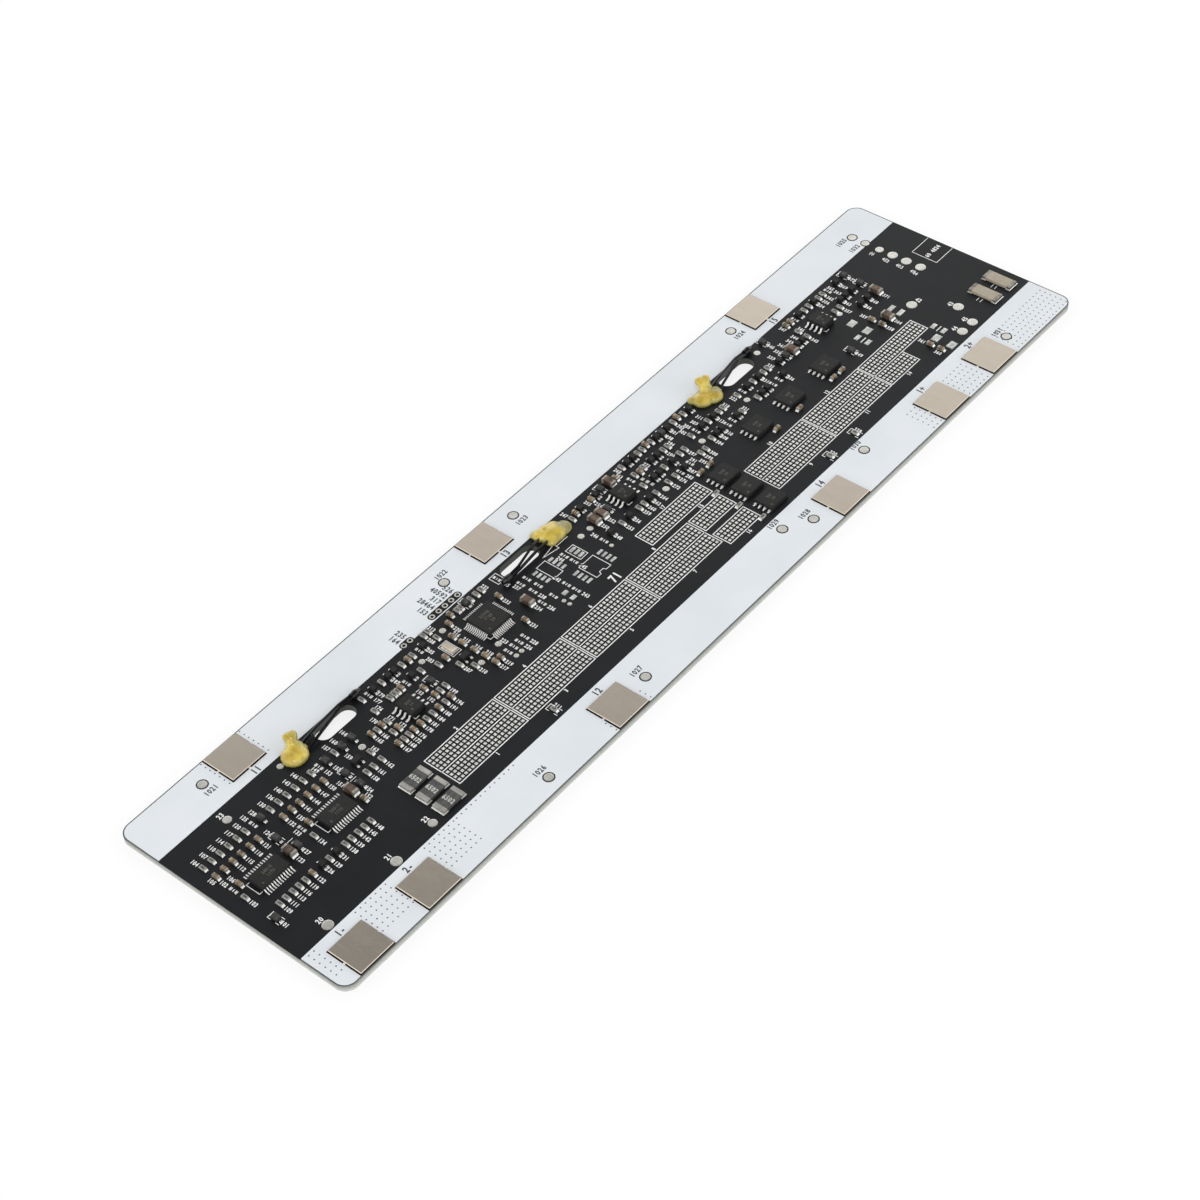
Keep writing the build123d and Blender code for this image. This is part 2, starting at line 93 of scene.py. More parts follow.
class Value:
    """A socket that Python expressions can work on."""

    def __init__(self, shader: "Shader", socket: bpy.types.NodeSocket) -> None:
        """Keep the socket and the tree it lives in."""
        self.shader = shader
        self.socket = socket

    def _math(self, operation: str, first: "Value | float", second: "Value | float") -> "Value":
        """Add one Math node for an operator."""
        return self.shader.add("ShaderNodeMath", {"operation": operation}, {0: first, 1: second})

    def __add__(self, other: "Value | float") -> "Value":
        """Sum of two values."""
        return self._math("ADD", self, other)

    def __radd__(self, other: float) -> "Value":
        """Sum with the number first."""
        return self._math("ADD", other, self)

    def __sub__(self, other: "Value | float") -> "Value":
        """Difference of two values."""
        return self._math("SUBTRACT", self, other)

    def __rsub__(self, other: float) -> "Value":
        """Difference with the number first."""
        return self._math("SUBTRACT", other, self)

    def __mul__(self, other: "Value | float") -> "Value":
        """Product of two values."""
        return self._math("MULTIPLY", self, other)

    def __rmul__(self, other: float) -> "Value":
        """Product with the number first."""
        return self._math("MULTIPLY", other, self)

    def __gt__(self, other: "Value | float") -> "Value":
        """1 where this value is the larger one, else 0."""
        return self._math("GREATER_THAN", self, other)

    def __abs__(self) -> "Value":
        """Size of the value without its sign."""
        return self._math("ABSOLUTE", self, 0.0)

    def at_least(self, other: "Value | float") -> "Value":
        """The larger of two values."""
        return self._math("MAXIMUM", self, other)

    def root(self) -> "Value":
        """Square root of the value."""
        return self._math("SQRT", self, 0.0)


class Shader:
    """Node tree of one material or of the world, with one call for all its nodes."""

    usual_noise: Pair = (0.3, 0.7)

    def __init__(self, tree: bpy.types.NodeTree) -> None:
        """Start from an empty tree."""
        self.tree = tree
        self.tree.nodes.clear()

    def add(
        self, kind: str, settings: dict[str, object] | None = None,
        sockets: dict[int | str, object] | None = None, output: int | str = 0,
    ) -> Value:
        """Add a node, set it up and link it.

        Args:
            kind: The node's type name.
            settings: Attributes of the node, or "stops" for a colour ramp.
            sockets: Values or links for the input sockets, by index or name.
            output: The output socket that the result reads.

        Returns:
            The chosen output as a value.
        """
        node = self.tree.nodes.new(kind)
        for name, setting in (settings or {}).items():
            if name == "stops":
                self._set_stops(node, setting)
            else:
                setattr(node, name, setting)
        for name, given in (sockets or {}).items():
            if isinstance(given, Value):
                self.tree.links.new(given.socket, node.inputs[name])
            else:
                node.inputs[name].default_value = given
        return Value(self, node.outputs[output]) if node.outputs else Value(self, None)

    @staticmethod
    def _set_stops(node: bpy.types.Node, stops: Iterable[tuple[float, Tone]]) -> None:
        """Give a colour ramp its stops.

        Args:
            node: The ramp's node.
            stops: Position and colour of each stop.
        """
        ramp = node.color_ramp
        for number, (position, tone) in enumerate(stops):
            stop = ramp.elements[number] if number < 2 else ramp.elements.new(position)
            stop.position = position
            stop.color = tone

    def place(self) -> Value:
        """Object coordinates, in metres."""
        return self.add("ShaderNodeTexCoord", output="Object")

    def noise(self, scale: float, detail: float = 2.0, stretch: Triple = (1, 1, 1)) -> Value:
        """Noise over the piece.

        Args:
            scale: Waves per metre.
            detail: Octaves of finer noise.
            stretch: Scale along each axis, for brushed looks.

        Returns:
            The noise's value, about 0.5 on average.
        """
        spot = self.add("ShaderNodeMapping", {}, {"Vector": self.place(), "Scale": stretch})
        return self.add(
            "ShaderNodeTexNoise", {}, {"Vector": spot, "Scale": scale, "Detail": detail}, "Fac"
        )

    def remap(self, value: Value, start: float, end: float, low: float, high: float) -> Value:
        """Map one range onto another.

        Args:
            value: The value.
            start: Start of its range.
            end: End of its range.
            low: Result at the start.
            high: Result at the end.

        Returns:
            The mapped value, held between low and high.
        """
        return self.add(
            "ShaderNodeMapRange", {"clamp": True},
            {"Value": value, "From Min": start, "From Max": end, "To Min": low, "To Max": high},
        )

    def spread(self, value: Value, low: float, high: float) -> Value:
        """Map the range that noise usually takes onto the range from low to high."""
        return self.remap(value, *self.usual_noise, low, high)

    def axes(self, vector: Value) -> tuple[Value, Value, Value]:
        """Split a vector.

        Args:
            vector: The vector.

        Returns:
            Its X, Y and Z.
        """
        split = self.add("ShaderNodeSeparateXYZ", {}, {"Vector": vector})
        outputs = split.socket.node.outputs
        return Value(self, outputs[0]), Value(self, outputs[1]), Value(self, outputs[2])

    def limit(self, value: Value) -> Value:
        """Hold a value between 0 and 1."""
        return self.add("ShaderNodeClamp", {}, {"Value": value})

    def blend(self, share: Value, first: object, second: object) -> Value:
        """Mix two colours.

        Args:
            share: Share of the second, from 0 to 1.
            first: The colour at 0.
            second: The colour at 1.

        Returns:
            The mixed colour.
        """
        return self.add(
            "ShaderNodeMix", {"data_type": "RGBA"}, {"Factor": share, 6: first, 7: second}, 2
        )

    def bump(self, height: Value, depth: float, strength: float = 1.0) -> Value:
        """Bend the normal by a height.

        Args:
            height: The height, from 0 to 1.
            depth: What a height of 1 stands for, in metres.
            strength: Share of the bend that shows.

        Returns:
            The bent normal.
        """
        return self.add(
            "ShaderNodeBump", {}, {"Height": height, "Distance": depth, "Strength": strength}
        )


def colour(red: float, green: float, blue: float) -> Tone:
    """Work out a linear colour from the 0 to 255 levels that a picture shows.

    Args:
        red: Level of red.
        green: Level of green.
        blue: Level of blue.

    Returns:
        The opaque linear colour.
    """
    levels = []
    for level in (red, green, blue):
        share = level / 255
        levels.append(share / 12.92 if share <= 0.04045 else ((share + 0.055) / 1.055) ** 2.4)
    return levels[0], levels[1], levels[2], 1.0


# Finishes


@dataclass(frozen=True)
class Finish:
    """A surface whose colour drifts between two tones and whose skin has a fine grain."""

    name: str
    light: Tone
    dark: Tone
    drift: float = 900.0
    drift_detail: float = 4.0
    grain: float = 6000.0
    grain_detail: float = 3.0
    relief: float = 0.00001
    stretch: Triple = (1, 1, 1)
    rough: Pair = (0.4, 0.55)
    metallic: float = 0.0
    coat: float = 0.0
    specular: float = 0.5
    subsurface: float = 0.0
    light_reach: Triple = (1.0, 0.8, 0.4)
    light_depth: float = 0.001

    def colours(self, shader: Shader) -> Value:
        """Colour over the surface, between the two tones.

        Args:
            shader: The material's node tree.

        Returns:
            The colour.
        """
        share = shader.spread(shader.noise(self.drift, self.drift_detail, self.stretch), 0.0, 1.0)
        return shader.blend(share, self.dark, self.light)

    def material(self) -> bpy.types.Material:
        """Build the material, once.

        Returns:
            The material, which later pieces of this finish share.
        """
        label = f"{self.name}_finish"
        made = bpy.data.materials.get(label)
        if made:
            return made
        made = bpy.data.materials.new(label)
        made.use_nodes = True
        shader = Shader(made.node_tree)
        grain = shader.noise(self.grain, self.grain_detail, self.stretch)
        surface = shader.add(
            "ShaderNodeBsdfPrincipled",
            {},
            {
                "Base Color": self.colours(shader),
                "Roughness": shader.spread(grain, *self.rough),
                "Normal": shader.bump(grain, self.relief),
                "Metallic": self.metallic,
                "Coat Weight": self.coat,
                "Specular IOR Level": self.specular,
                "Subsurface Weight": self.subsurface,
                "Subsurface Radius": self.light_reach,
                "Subsurface Scale": self.light_depth,
            },
        )
        shader.add("ShaderNodeOutputMaterial", {}, {"Surface": surface})
        return made


@dataclass(frozen=True)
class MaskedLaminate(Finish):
    """Black mask on the faces, thin at the rim beside the bands; bare laminate on the outer cut edges,
    with painted shade toward the top and painted light toward the foot, and painted shade on the walls
    of slots and holes.
    """

    # Outer edge tones: painted shade at the top, painted light from the floor at the foot
    edge_top: Tone = colour(130, 132, 128)
    edge_foot: Tone = colour(200, 201, 196)
    rim: Tone = colour(92, 95, 92)
    # Painted shade on the walls of slots and holes
    bore: Tone = colour(72, 74, 68)
    ply: float = 9000.0
    ply_stretch: Triple = (0.15, 0.15, 1.0)
    ply_tone: float = 0.2
    pour_tone: float = 0.35
    pour_waves: float = 160.0
    thickness: float = 0.0016
    half_sizes: Pair = (0.124, 0.0318)
    corner: float = 0.003
    wall: float = 0.0005
    margin: float = 0.0003
    band: float = 0.0196

    def colours(self, shader: Shader) -> Value:
        """Mask over faint copper pours on the faces; on the outer edges, plies of glass under painted
        shade at the top and painted light at the foot, and painted shade on the walls of slots and
        holes.

        Args:
            shader: The material's node tree.

        Returns:
            The colour.
        """
        tone = shader.spread(shader.noise(self.drift, self.drift_detail), 0.0, 1.0)
        pour = shader.add(
            "ShaderNodeTexVoronoi",
            {"distance": "CHEBYCHEV"},
            {"Vector": shader.place(), "Scale": self.pour_waves},
            "Color",
        )
        pours = shader.add("ShaderNodeSeparateColor", {}, {"Color": pour}, 0)
        share = tone * (1 - self.pour_tone) + pours * self.pour_tone
        mask = shader.blend(share, self.dark, self.light)
        along, across, height = shader.axes(shader.place())
        glass = shader.noise(self.ply, stretch=self.ply_stretch)
        plies = shader.spread(glass, -self.ply_tone, self.ply_tone)
        # Share of the foot tone: painted light rising toward the foot and painted shade toward the top,
        # broken up by the glass plies
        depth = shader.limit(1 - height * (1 / self.thickness) + plies)
        outer = shader.blend(depth, self.edge_top, self.edge_foot)
        past = [
            (abs(way) - (half - self.corner)).at_least(0.0)
            for way, half in zip((along, across), self.half_sizes)
        ]
        apart = (past[0] * past[0] + past[1] * past[1]).root()
        # Slot and hole walls take the painted shade tone, outer edges the painted height gradient
        edge = shader.blend(apart > self.corner - self.wall, self.bore, outer)
        strip = (apart > self.corner - self.margin) * (abs(across) > self.band)
        face = shader.blend(strip, mask, self.rim)
        facing = shader.add("ShaderNodeNewGeometry", output="Normal")
        return shader.blend(abs(shader.axes(facing)[2]) > 0.5, edge, face)


@dataclass(frozen=True)
class CuredAdhesive(Finish):
    """Yellow adhesive, deeper in its folds, olive where it is thin or where the board shows through."""

    drift_detail: float = 3.0
    clear: float = 0.4
    clear_waves: float = 330.0
    pools: tuple[Triple, ...] = ()
    pool: float = 0.0026
    pool_core: float = 0.35
    pool_depth: float = 0.8
    thin: Tone = colour(120, 118, 58)
    foot: float = 0.0016
    film: float = 0.0013

    def colours(self, shader: Shader) -> Value:
        """Tone by folds, by the pools at the leads, then by height above the board.

        Args:
            shader: The material's node tree.

        Returns:
            The colour.
        """
        share = shader.spread(shader.noise(self.drift, self.drift_detail), 0.0, 1.0)
        full = shader.blend(share, self.dark, self.light)
        see_through = shader.spread(shader.noise(self.clear_waves), -self.clear, self.clear)
        body = shader.blend(shader.limit(see_through), full, self.thin)
        for spot in self.pools:
            apart = shader.add(
                "ShaderNodeVectorMath", {"operation": "DISTANCE"}, {0: shader.place(), 1: spot}, "Value"
            )
            deep = shader.remap(apart, self.pool, self.pool * self.pool_core, 0.0, self.pool_depth)
            body = shader.blend(deep, body, self.thin)
        height = shader.axes(shader.place())[2]
        lifted = shader.remap(height, self.foot, self.foot + self.film, 0.0, 1.0)
        return shader.blend(lifted, self.thin, body)


MASK = MaskedLaminate(
    "black_solder_mask", colour(16, 18, 22), colour(7, 9, 12), drift=120, grain=2500,
    relief=0.000004, rough=(0.42, 0.52), specular=0.25,
)
WHITE_PRINT = Finish(
    "white_print", colour(231, 235, 239), colour(223, 228, 232), drift=60, grain=4000,
    relief=0.000004, rough=(0.5, 0.62), specular=0.3,
)
SILK = Finish(
    "white_silk", colour(248, 248, 247), colour(228, 228, 227), drift=1500, rough=(0.55, 0.7),
)
DARK_PRINT = Finish(
    "dark_print", colour(86, 91, 96), colour(64, 68, 73), drift=1500, rough=(0.55, 0.7), specular=0.3,
)
WINDOW = Finish(
    "bare_window", colour(44, 44, 42), colour(30, 30, 29), drift=900, rough=(0.5, 0.6), specular=0.3,
)
VIA = Finish(
    "plugged_via", colour(98, 104, 108), colour(70, 76, 80), drift=1500, rough=(0.5, 0.6),
)
CHIP_MARK = Finish(
    "chip_mark", colour(96, 92, 84), colour(66, 63, 58), drift=1500, rough=(0.55, 0.7), specular=0.3,
)
NICKEL = Finish(
    "nickel", colour(202, 192, 178), colour(197, 187, 173), drift=500, grain=2200, relief=0.0000025,
    stretch=(1.0, 0.35, 1.0), rough=(0.18, 0.24), metallic=1.0,
)
SOLDER = Finish(
    "solder", colour(244, 244, 241), colour(206, 206, 201), drift=1600, grain=3500, relief=0.00003,
    rough=(0.18, 0.34), metallic=0.5,
)
JOINT = Finish(
    "solder_joint", colour(252, 252, 250), colour(234, 234, 230), drift=1600, grain=3500,
    relief=0.00003, rough=(0.22, 0.4), metallic=0.75,
)
TERMINAL = Finish(
    "plated_terminal", colour(190, 186, 176), colour(138, 134, 124), drift=1600, grain=3500,
    relief=0.00001, rough=(0.3, 0.45), metallic=0.5,
)
TIN_PLATE = Finish(
    "tin_plate", colour(206, 204, 198), colour(150, 148, 142), drift=700, grain=3500,
    relief=0.00002, stretch=(1.0, 0.25, 1.0), rough=(0.26, 0.42), metallic=0.75,
)
LEAD = Finish(
    "plated_lead", colour(246, 246, 244), colour(224, 224, 220), drift=1800, grain=3500,
    relief=0.00001, rough=(0.25, 0.4), metallic=0.25,
)
# Same tinned lead as LEAD, darkened as painted shade for the leads of small cases
SHADED_SMALL_LEAD = Finish(
    "shaded_small_lead", colour(150, 150, 147), colour(92, 92, 90), drift=1800, grain=3500,
    relief=0.00001, rough=(0.25, 0.4), metallic=0.6,
)
PAD = Finish(
    "bare_pad", colour(224, 223, 216), colour(202, 200, 193), drift=900, grain=3000,
    relief=0.00001, rough=(0.22, 0.34), metallic=0.88,
)
BARE_PLATE = Finish(
    "bare_plate", colour(230, 231, 227), colour(168, 170, 166), drift=700, grain=1300,
    relief=0.0001, rough=(0.2, 0.34), metallic=0.7,
)
MOULDING = Finish(
    "moulding", colour(35, 34, 33), colour(22, 22, 22), drift=1400, grain=7000, relief=0.00002,
    rough=(0.5, 0.68), specular=0.3,
)
SMALL_CASE = Finish(
    "small_case", colour(76, 76, 75), colour(34, 34, 34), drift=1500, grain=7000, relief=0.00002,
    rough=(0.45, 0.6), specular=0.3,
)
SHUNT_MARK = Finish(
    "shunt_mark", colour(208, 208, 204), colour(170, 170, 166), drift=1500, rough=(0.5, 0.65),
)
SHUNT_COAT = Finish(
    "shunt_coat", colour(92, 92, 90), colour(66, 66, 65), drift=900, grain=5000, relief=0.00002,
    rough=(0.45, 0.6), specular=0.3,
)
ALUMINA = Finish(
    "alumina", colour(196, 195, 190), colour(158, 157, 152), drift=2500, rough=(0.5, 0.65),
)
RESISTOR_COAT = Finish(
    "resistor_coat", colour(108, 108, 110), colour(52, 52, 54), drift=1500, rough=(0.35, 0.5),
)
CAPACITOR = Finish(
    "capacitor_ceramic", colour(158, 132, 98), colour(70, 60, 48), drift=1100, grain=9000,
    relief=0.00001, rough=(0.45, 0.6),
)
LARGE_CAPACITOR = Finish(
    "large_capacitor_ceramic", colour(112, 88, 70), colour(46, 39, 36), drift=800, grain=9000,
    relief=0.00001, rough=(0.4, 0.55),
)
FUSE_END = Finish(
    "fuse_end", colour(170, 166, 154), colour(104, 100, 92), drift=900, grain=3500,
    relief=0.00003, rough=(0.26, 0.42), metallic=0.8,
)
FUSE_CERAMIC = Finish(
    "fuse_ceramic", colour(174, 164, 146), colour(161, 151, 134), drift=700, rough=(0.45, 0.6),
)
CAN_METAL = Finish(
    "crystal_can", colour(214, 204, 184), colour(184, 173, 154), drift=700, grain=4000,
    stretch=(0.2, 1.0, 1.0), rough=(0.3, 0.42), metallic=0.5,
)
BEAD = Finish(
    "bead_epoxy", colour(18, 18, 19), colour(8, 8, 9), drift=800, grain=1400, relief=0.00008,
    rough=(0.08, 0.18), coat=0.1, specular=0.35,
)
SLEEVE = Finish(
    "lead_sleeve", colour(18, 18, 19), colour(8, 8, 9), drift=1500, grain=3000, relief=0.00003,
    rough=(0.1, 0.2), specular=0.3,
)
ADHESIVE = CuredAdhesive(
    "cured_adhesive", colour(228, 206, 98), colour(186, 158, 56), drift=420, grain=900,
    relief=0.0002, rough=(0.2, 0.34), coat=0.4, subsurface=0.2,
    pools=((-0.0848, 0.0182, 0.0030), (-0.0048, 0.0159, 0.0022), (0.0497, 0.0167, 0.0030)),
)


# Modelling helpers


@dataclass(frozen=True)
class SolidBox:
    """Box round one solid of a CAD node, in metres."""

    low: Vector
    high: Vector

    @property
    def middle(self) -> Vector:
        """Centre of the box."""
        return (self.low + self.high) / 2

    @property
    def spot(self) -> Pair:
        """X and Y of the centre."""
        return self.middle.x, self.middle.y

    @property
    def size(self) -> Vector:
        """Extents of the box."""
        return self.high - self.low

    def axis_to(self, other: "SolidBox") -> int:
        """Axis along which another box lies beside this one, 0 for X and 1 for Y."""
        away = other.middle - self.middle
        return 0 if abs(away.x) / self.size.x > abs(away.y) / self.size.y else 1

    def flat(self, margin: float = 0.0) -> Area:
        """Low and high corners seen from above, grown by a margin."""
        return self.low.x - margin, self.low.y - margin, self.high.x + margin, self.high.y + margin


def solid_boxes(node: str) -> list[SolidBox]:
    """Find the separate solids of a CAD node.

    Args:
        node: The node's name.

    Returns:
        One box for each solid, from the lowest X upward.
    """
    work = bmesh.new()
    work.from_mesh(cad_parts[node].data)
    bmesh.ops.remove_doubles(work, verts=work.verts, dist=WELD)
    seen: set[bmesh.types.BMVert] = set()
    boxes = []
    for start in work.verts:
        if start in seen:
            continue
        island = {start}
        queue = [start]
        while queue:
            vert = queue.pop()
            beside = {edge.other_vert(vert) for edge in vert.link_edges} - island
            island |= beside
            queue.extend(beside)
        seen |= island
        corners = [vert.co for vert in island]
        low = Vector(min(c[i] for c in corners) for i in range(3))
        high = Vector(max(c[i] for c in corners) for i in range(3))
        boxes.append(SolidBox(low, high))
    work.free()
    return sorted(boxes, key=lambda box: (box.low.x, box.low.y))


def deselect_all() -> None:
    """Leave nothing selected."""
    bpy.ops.object.select_all(action="DESELECT")


def make_active(piece: bpy.types.Object) -> None:
    """Select one object alone.

    Args:
        piece: The object.
    """
    deselect_all()
    piece.select_set(True)
    bpy.context.view_layer.objects.active = piece


def new_primitive(add: Callable[..., object], name: str, **sizes: object) -> bpy.types.Object:
    """Add a primitive and keep its place in its mesh.

    Args:
        add: The operator that adds it.
        name: The object's name.
        **sizes: The operator's own sizes, location and scale.

    Returns:
        The new object at the origin, unturned and unscaled.
    """
    deselect_all()
    add(**sizes)
    piece = bpy.context.object
    piece.name = name
    piece.data.name = name
    bpy.ops.object.transform_apply(location=True, rotation=True, scale=True)
    return piece


class Part(Enum):
    """Parts of a mesh that edit mode can select."""

    FACE = "FACE"
    EDGE = "EDGE"


def edit(
    piece: bpy.types.Object, part: Part, pick: Callable[..., bool], *steps: Callable[[], object]
) -> None:
    """Select faces or edges by a test and run edit operators on them.

    Args:
        piece: The object to edit.
        part: What to select.
        pick: Test for the faces or edges to select.
        *steps: Calls of edit operators.
    """
    make_active(piece)
    bpy.ops.object.mode_set(mode="EDIT")
    bpy.ops.mesh.select_mode(type=part.value)
    bpy.ops.mesh.select_all(action="DESELECT")
    work = bmesh.from_edit_mesh(piece.data)
    for element in work.faces if part is Part.FACE else work.edges:
        element.select_set(pick(element))
    bmesh.update_edit_mesh(piece.data)
    for step in steps:
        step()
    bpy.ops.object.mode_set(mode="OBJECT")


def is_top(face: bmesh.types.BMFace) -> bool:
    """Whether a face looks up."""
    return face.normal.z > LEVEL


def is_flat(face: bmesh.types.BMFace) -> bool:
    """Whether a face looks up or down."""
    return abs(face.normal.z) > LEVEL


def is_above(edge: bmesh.types.BMEdge, height: float) -> bool:
    """Whether both ends of an edge lie above a height."""
    return all(vert.co.z > height for vert in edge.verts)


class Tray:
    """Collects copies of small models and joins them into one piece."""

    def __init__(self) -> None:
        """Start empty."""
        self.copies: list[tuple[bpy.types.Mesh, Matrix]] = []

    def put(self, model: bpy.types.Mesh, place: Matrix) -> None:
        """Lay one copy of a model at a place."""
        self.copies.append((model, place))

    def put_sized(
        self, model: bpy.types.Mesh, middle: Pair, size: Triple, base: float, angle: float = 0.0
    ) -> None:
        """Lay a copy of a unit model, scaled and turned.

        Args:
            model: Unit model that stands on z = 0.
            middle: X and Y of its centre, in metres.
            size: Length, width and height, in metres.
            base: Height that it stands on, in metres.
            angle: Turn about Z, in radians.
        """
        place = Matrix.Translation((middle[0], middle[1], base)) @ Matrix.Rotation(angle, 4, "Z")
        self.put(model, place @ Matrix.Diagonal((size[0], size[1], size[2], 1.0)))

    def piece(self, name: str, finish: Finish, slot: Slot) -> bpy.types.Object:
        """Join the copies into one finished piece.

        Args:
            name: The piece's name.
            finish: Its finish.
            slot: Not used.

        Returns:
            The piece.
        """
        work = bmesh.new()
        for model, place in self.copies:
            copy = model.copy()
            copy.transform(place)
            work.from_mesh(copy)
            bpy.data.meshes.remove(copy)
        mesh = bpy.data.meshes.new(name)
        work.to_mesh(mesh)
        work.free()
        made = bpy.data.objects.new(name, mesh)
        bpy.context.scene.collection.objects.link(made)
        return finish_piece(made, finish)


def finish_piece(piece: bpy.types.Object, finish: Finish) -> bpy.types.Object:
    """Give a new piece its material and its body.

    Args:
        piece: The piece.
        finish: Its finish.

    Returns:
        The same piece.
    """
    piece.data.materials.clear()
    piece.data.materials.append(finish.material())
    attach(piece, BODY)
    LOG.info("%s: %d faces, %s", piece.name, len(piece.data.polygons), finish.name)
    return piece


def dress(nodes: Iterable[str], finish: Finish) -> None:
    """Give CAD nodes a material.

    Args:
        nodes: Names of the nodes.
        finish: Their finish.
    """
    for node in nodes:
        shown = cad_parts[node]
        shown.data.materials.clear()
        shown.data.materials.append(finish.material())
        LOG.info("%s: %s", node, finish.name)


def keep_model(piece: bpy.types.Object) -> bpy.types.Mesh:
    """Keep a model's mesh and drop its object.

    Args:
        piece: The modelled object.

    Returns:
        Its mesh.
    """
    mesh = piece.data
    bpy.data.objects.remove(piece)
    return mesh


class Models:
    """Unit models that are made once and copied."""

    bar_rim: float = 0.04
    dot_rim: float = 0.12
    dot_side: float = 0.5
    pad_rim: float = 0.07
    pad_side: float = 0.25
    disc_sides: int = 24
    disc_rim: float = 0.08
    disc_side: float = 0.6
    via_sides: int = 8
    via_rim: float = 0.2
    cap_edge: float = 0.07
    ring_sides: int = 24
    ring_wall: float = 0.22
    fillet_fall: Triple = (0, 0.1, -0.72)
    fillet_tip: float = 0.72
    fillet_edge: float = 0.08
    fillet_foot: float = 0.01
    sign_size: float = 1.4
    sign_weight: float = 0.05
    sign_curve: int = 2
    advance: float = 0.66
    narrow: float = 0.78

    def __init__(self) -> None:
        """Model each shape by hand, one unit across and standing on z = 0."""
        self.bar = keep_model(self._bar())
        self.dot = keep_model(self._pillow("dot", self.dot_rim, self.dot_side))
        self.fillet = keep_model(self._fillet())
        self.pad = keep_model(self._pillow("pad", self.pad_rim, self.pad_side))
        self.disc = keep_model(self._disc("disc", self.disc_sides, self.disc_rim))
        self.via = keep_model(self._disc("via", self.via_sides, self.via_rim))
        self.cap = keep_model(self._cap())
        self.ring = keep_model(self._ring())
        self.glyphs: dict[str, bpy.types.Mesh] = {}

    @staticmethod
    def _cube(name: str, height: float = 1) -> bpy.types.Object:
        """Add a block of unit length and width that stands on z = 0.

        Args:
            name: Its name.
            height: Its height.

        Returns:
            The block.
        """
        return new_primitive(
            bpy.ops.mesh.primitive_cube_add, name, size=1, location=(0, 0, height / 2),
            scale=(1, 1, height),
        )

    @staticmethod
    def _cylinder(name: str, sides: int, height: float = 1) -> bpy.types.Object:
        """Add a round block of unit diameter that stands on z = 0.

        Args:
            name: Its name.
            sides: Count of its sides.
            height: Its height.

        Returns:
            The block.
        """
        return new_primitive(
            bpy.ops.mesh.primitive_cylinder_add, name, vertices=sides, radius=0.5, depth=height,
            location=(0, 0, height / 2),
        )

    @staticmethod
    def _draw_up(block: bpy.types.Object, rim: float, rise: float) -> bpy.types.Object:
        """Draw the top of a block in and up.

        Args:
            block: The block.
            rim: How far the top is drawn in.
            rise: How far it is drawn up.

        Returns:
            The same block.
        """
        edit(
            block, Part.FACE, is_top,
            lambda: bpy.ops.mesh.inset(thickness=rim),
            lambda: bpy.ops.transform.translate(value=(0, 0, rise)),
        )
        return block

    def _bar(self) -> bpy.types.Object:
        """Stroke of print: a flat bar with a broken top edge.

        Returns:
            The bar.
        """
        bar = self._cube("bar")
        edit(bar, Part.FACE, is_top, lambda: bpy.ops.mesh.inset(thickness=self.bar_rim))
        return bar

    def _pillow(self, name: str, rim: float, side: float) -> bpy.types.Object:
        """Low cushion of solder: a block whose top is drawn in and up."""
        return self._draw_up(self._cube(name, side), rim, 1 - side)

    def _disc(self, name: str, sides: int, rim: float) -> bpy.types.Object:
        """Round pad whose top is drawn in and up a little."""
        return self._draw_up(self._cylinder(name, sides, self.disc_side), rim, 1 - self.disc_side)

    def _cap(self) -> bpy.types.Object:
        """Wrapped chip terminal: a block with its upper edges broken.

        Returns:
            The terminal.
        """
        cap = self._cube("cap")
        edit(
            cap, Part.EDGE, lambda edge: is_above(edge, 0.5),
            lambda: bpy.ops.mesh.bevel(offset=self.cap_edge, segments=1, affect="EDGES"),
        )
        return cap

    def _ring(self) -> bpy.types.Object:
        """Plated collar: a flat ring, open in the middle.

        Returns:
            The collar.
        """
        ring = self._cylinder("ring", self.ring_sides)
        edit(
            ring, Part.FACE, is_flat,
            lambda: bpy.ops.mesh.inset(thickness=self.ring_wall),
            lambda: bpy.ops.mesh.bridge_edge_loops(),
        )
        return ring

    def _fillet(self) -> bpy.types.Object:
        """Solder fillet: high where it meets its part, low at its outer end, toward -Y.

        Returns:
            The fillet.
        """
        fillet = self._cube("fillet")
        edit(
            fillet, Part.EDGE,
            lambda edge: is_above(edge, 0.5) and all(vert.co.y < 0 for vert in edge.verts),
            lambda: bpy.ops.transform.translate(value=self.fillet_fall),
            lambda: bpy.ops.transform.resize(value=(self.fillet_tip, 1, 1)),
        )
        edit(
            fillet, Part.EDGE, lambda edge: is_above(edge, self.fillet_foot),
            lambda: bpy.ops.mesh.bevel(offset=self.fillet_edge, segments=1, affect="EDGES"),
        )
        return fillet

    def glyph(self, sign: str) -> bpy.types.Mesh:
        """Mesh of one printed sign, one unit high and thick, centred on the origin.

        Args:
            sign: The sign.

        Returns:
            Its mesh, which is modelled at its first use.
        """
        if sign not in self.glyphs:
            deselect_all()
            bpy.ops.object.text_add(location=(0, 0, 0))
            text = bpy.context.object
            text.data.body = sign
            text.data.align_x = "CENTER"
            text.data.size = self.sign_size
            text.data.extrude = 0.5
            text.data.offset = self.sign_weight
            text.data.resolution_u = self.sign_curve
            bpy.ops.object.convert(target="MESH")
            glyph = bpy.context.object
            glyph.data.transform(Matrix.Translation((0, -0.5, 0.5)))
            self.glyphs[sign] = keep_model(glyph)
        return self.glyphs[sign]

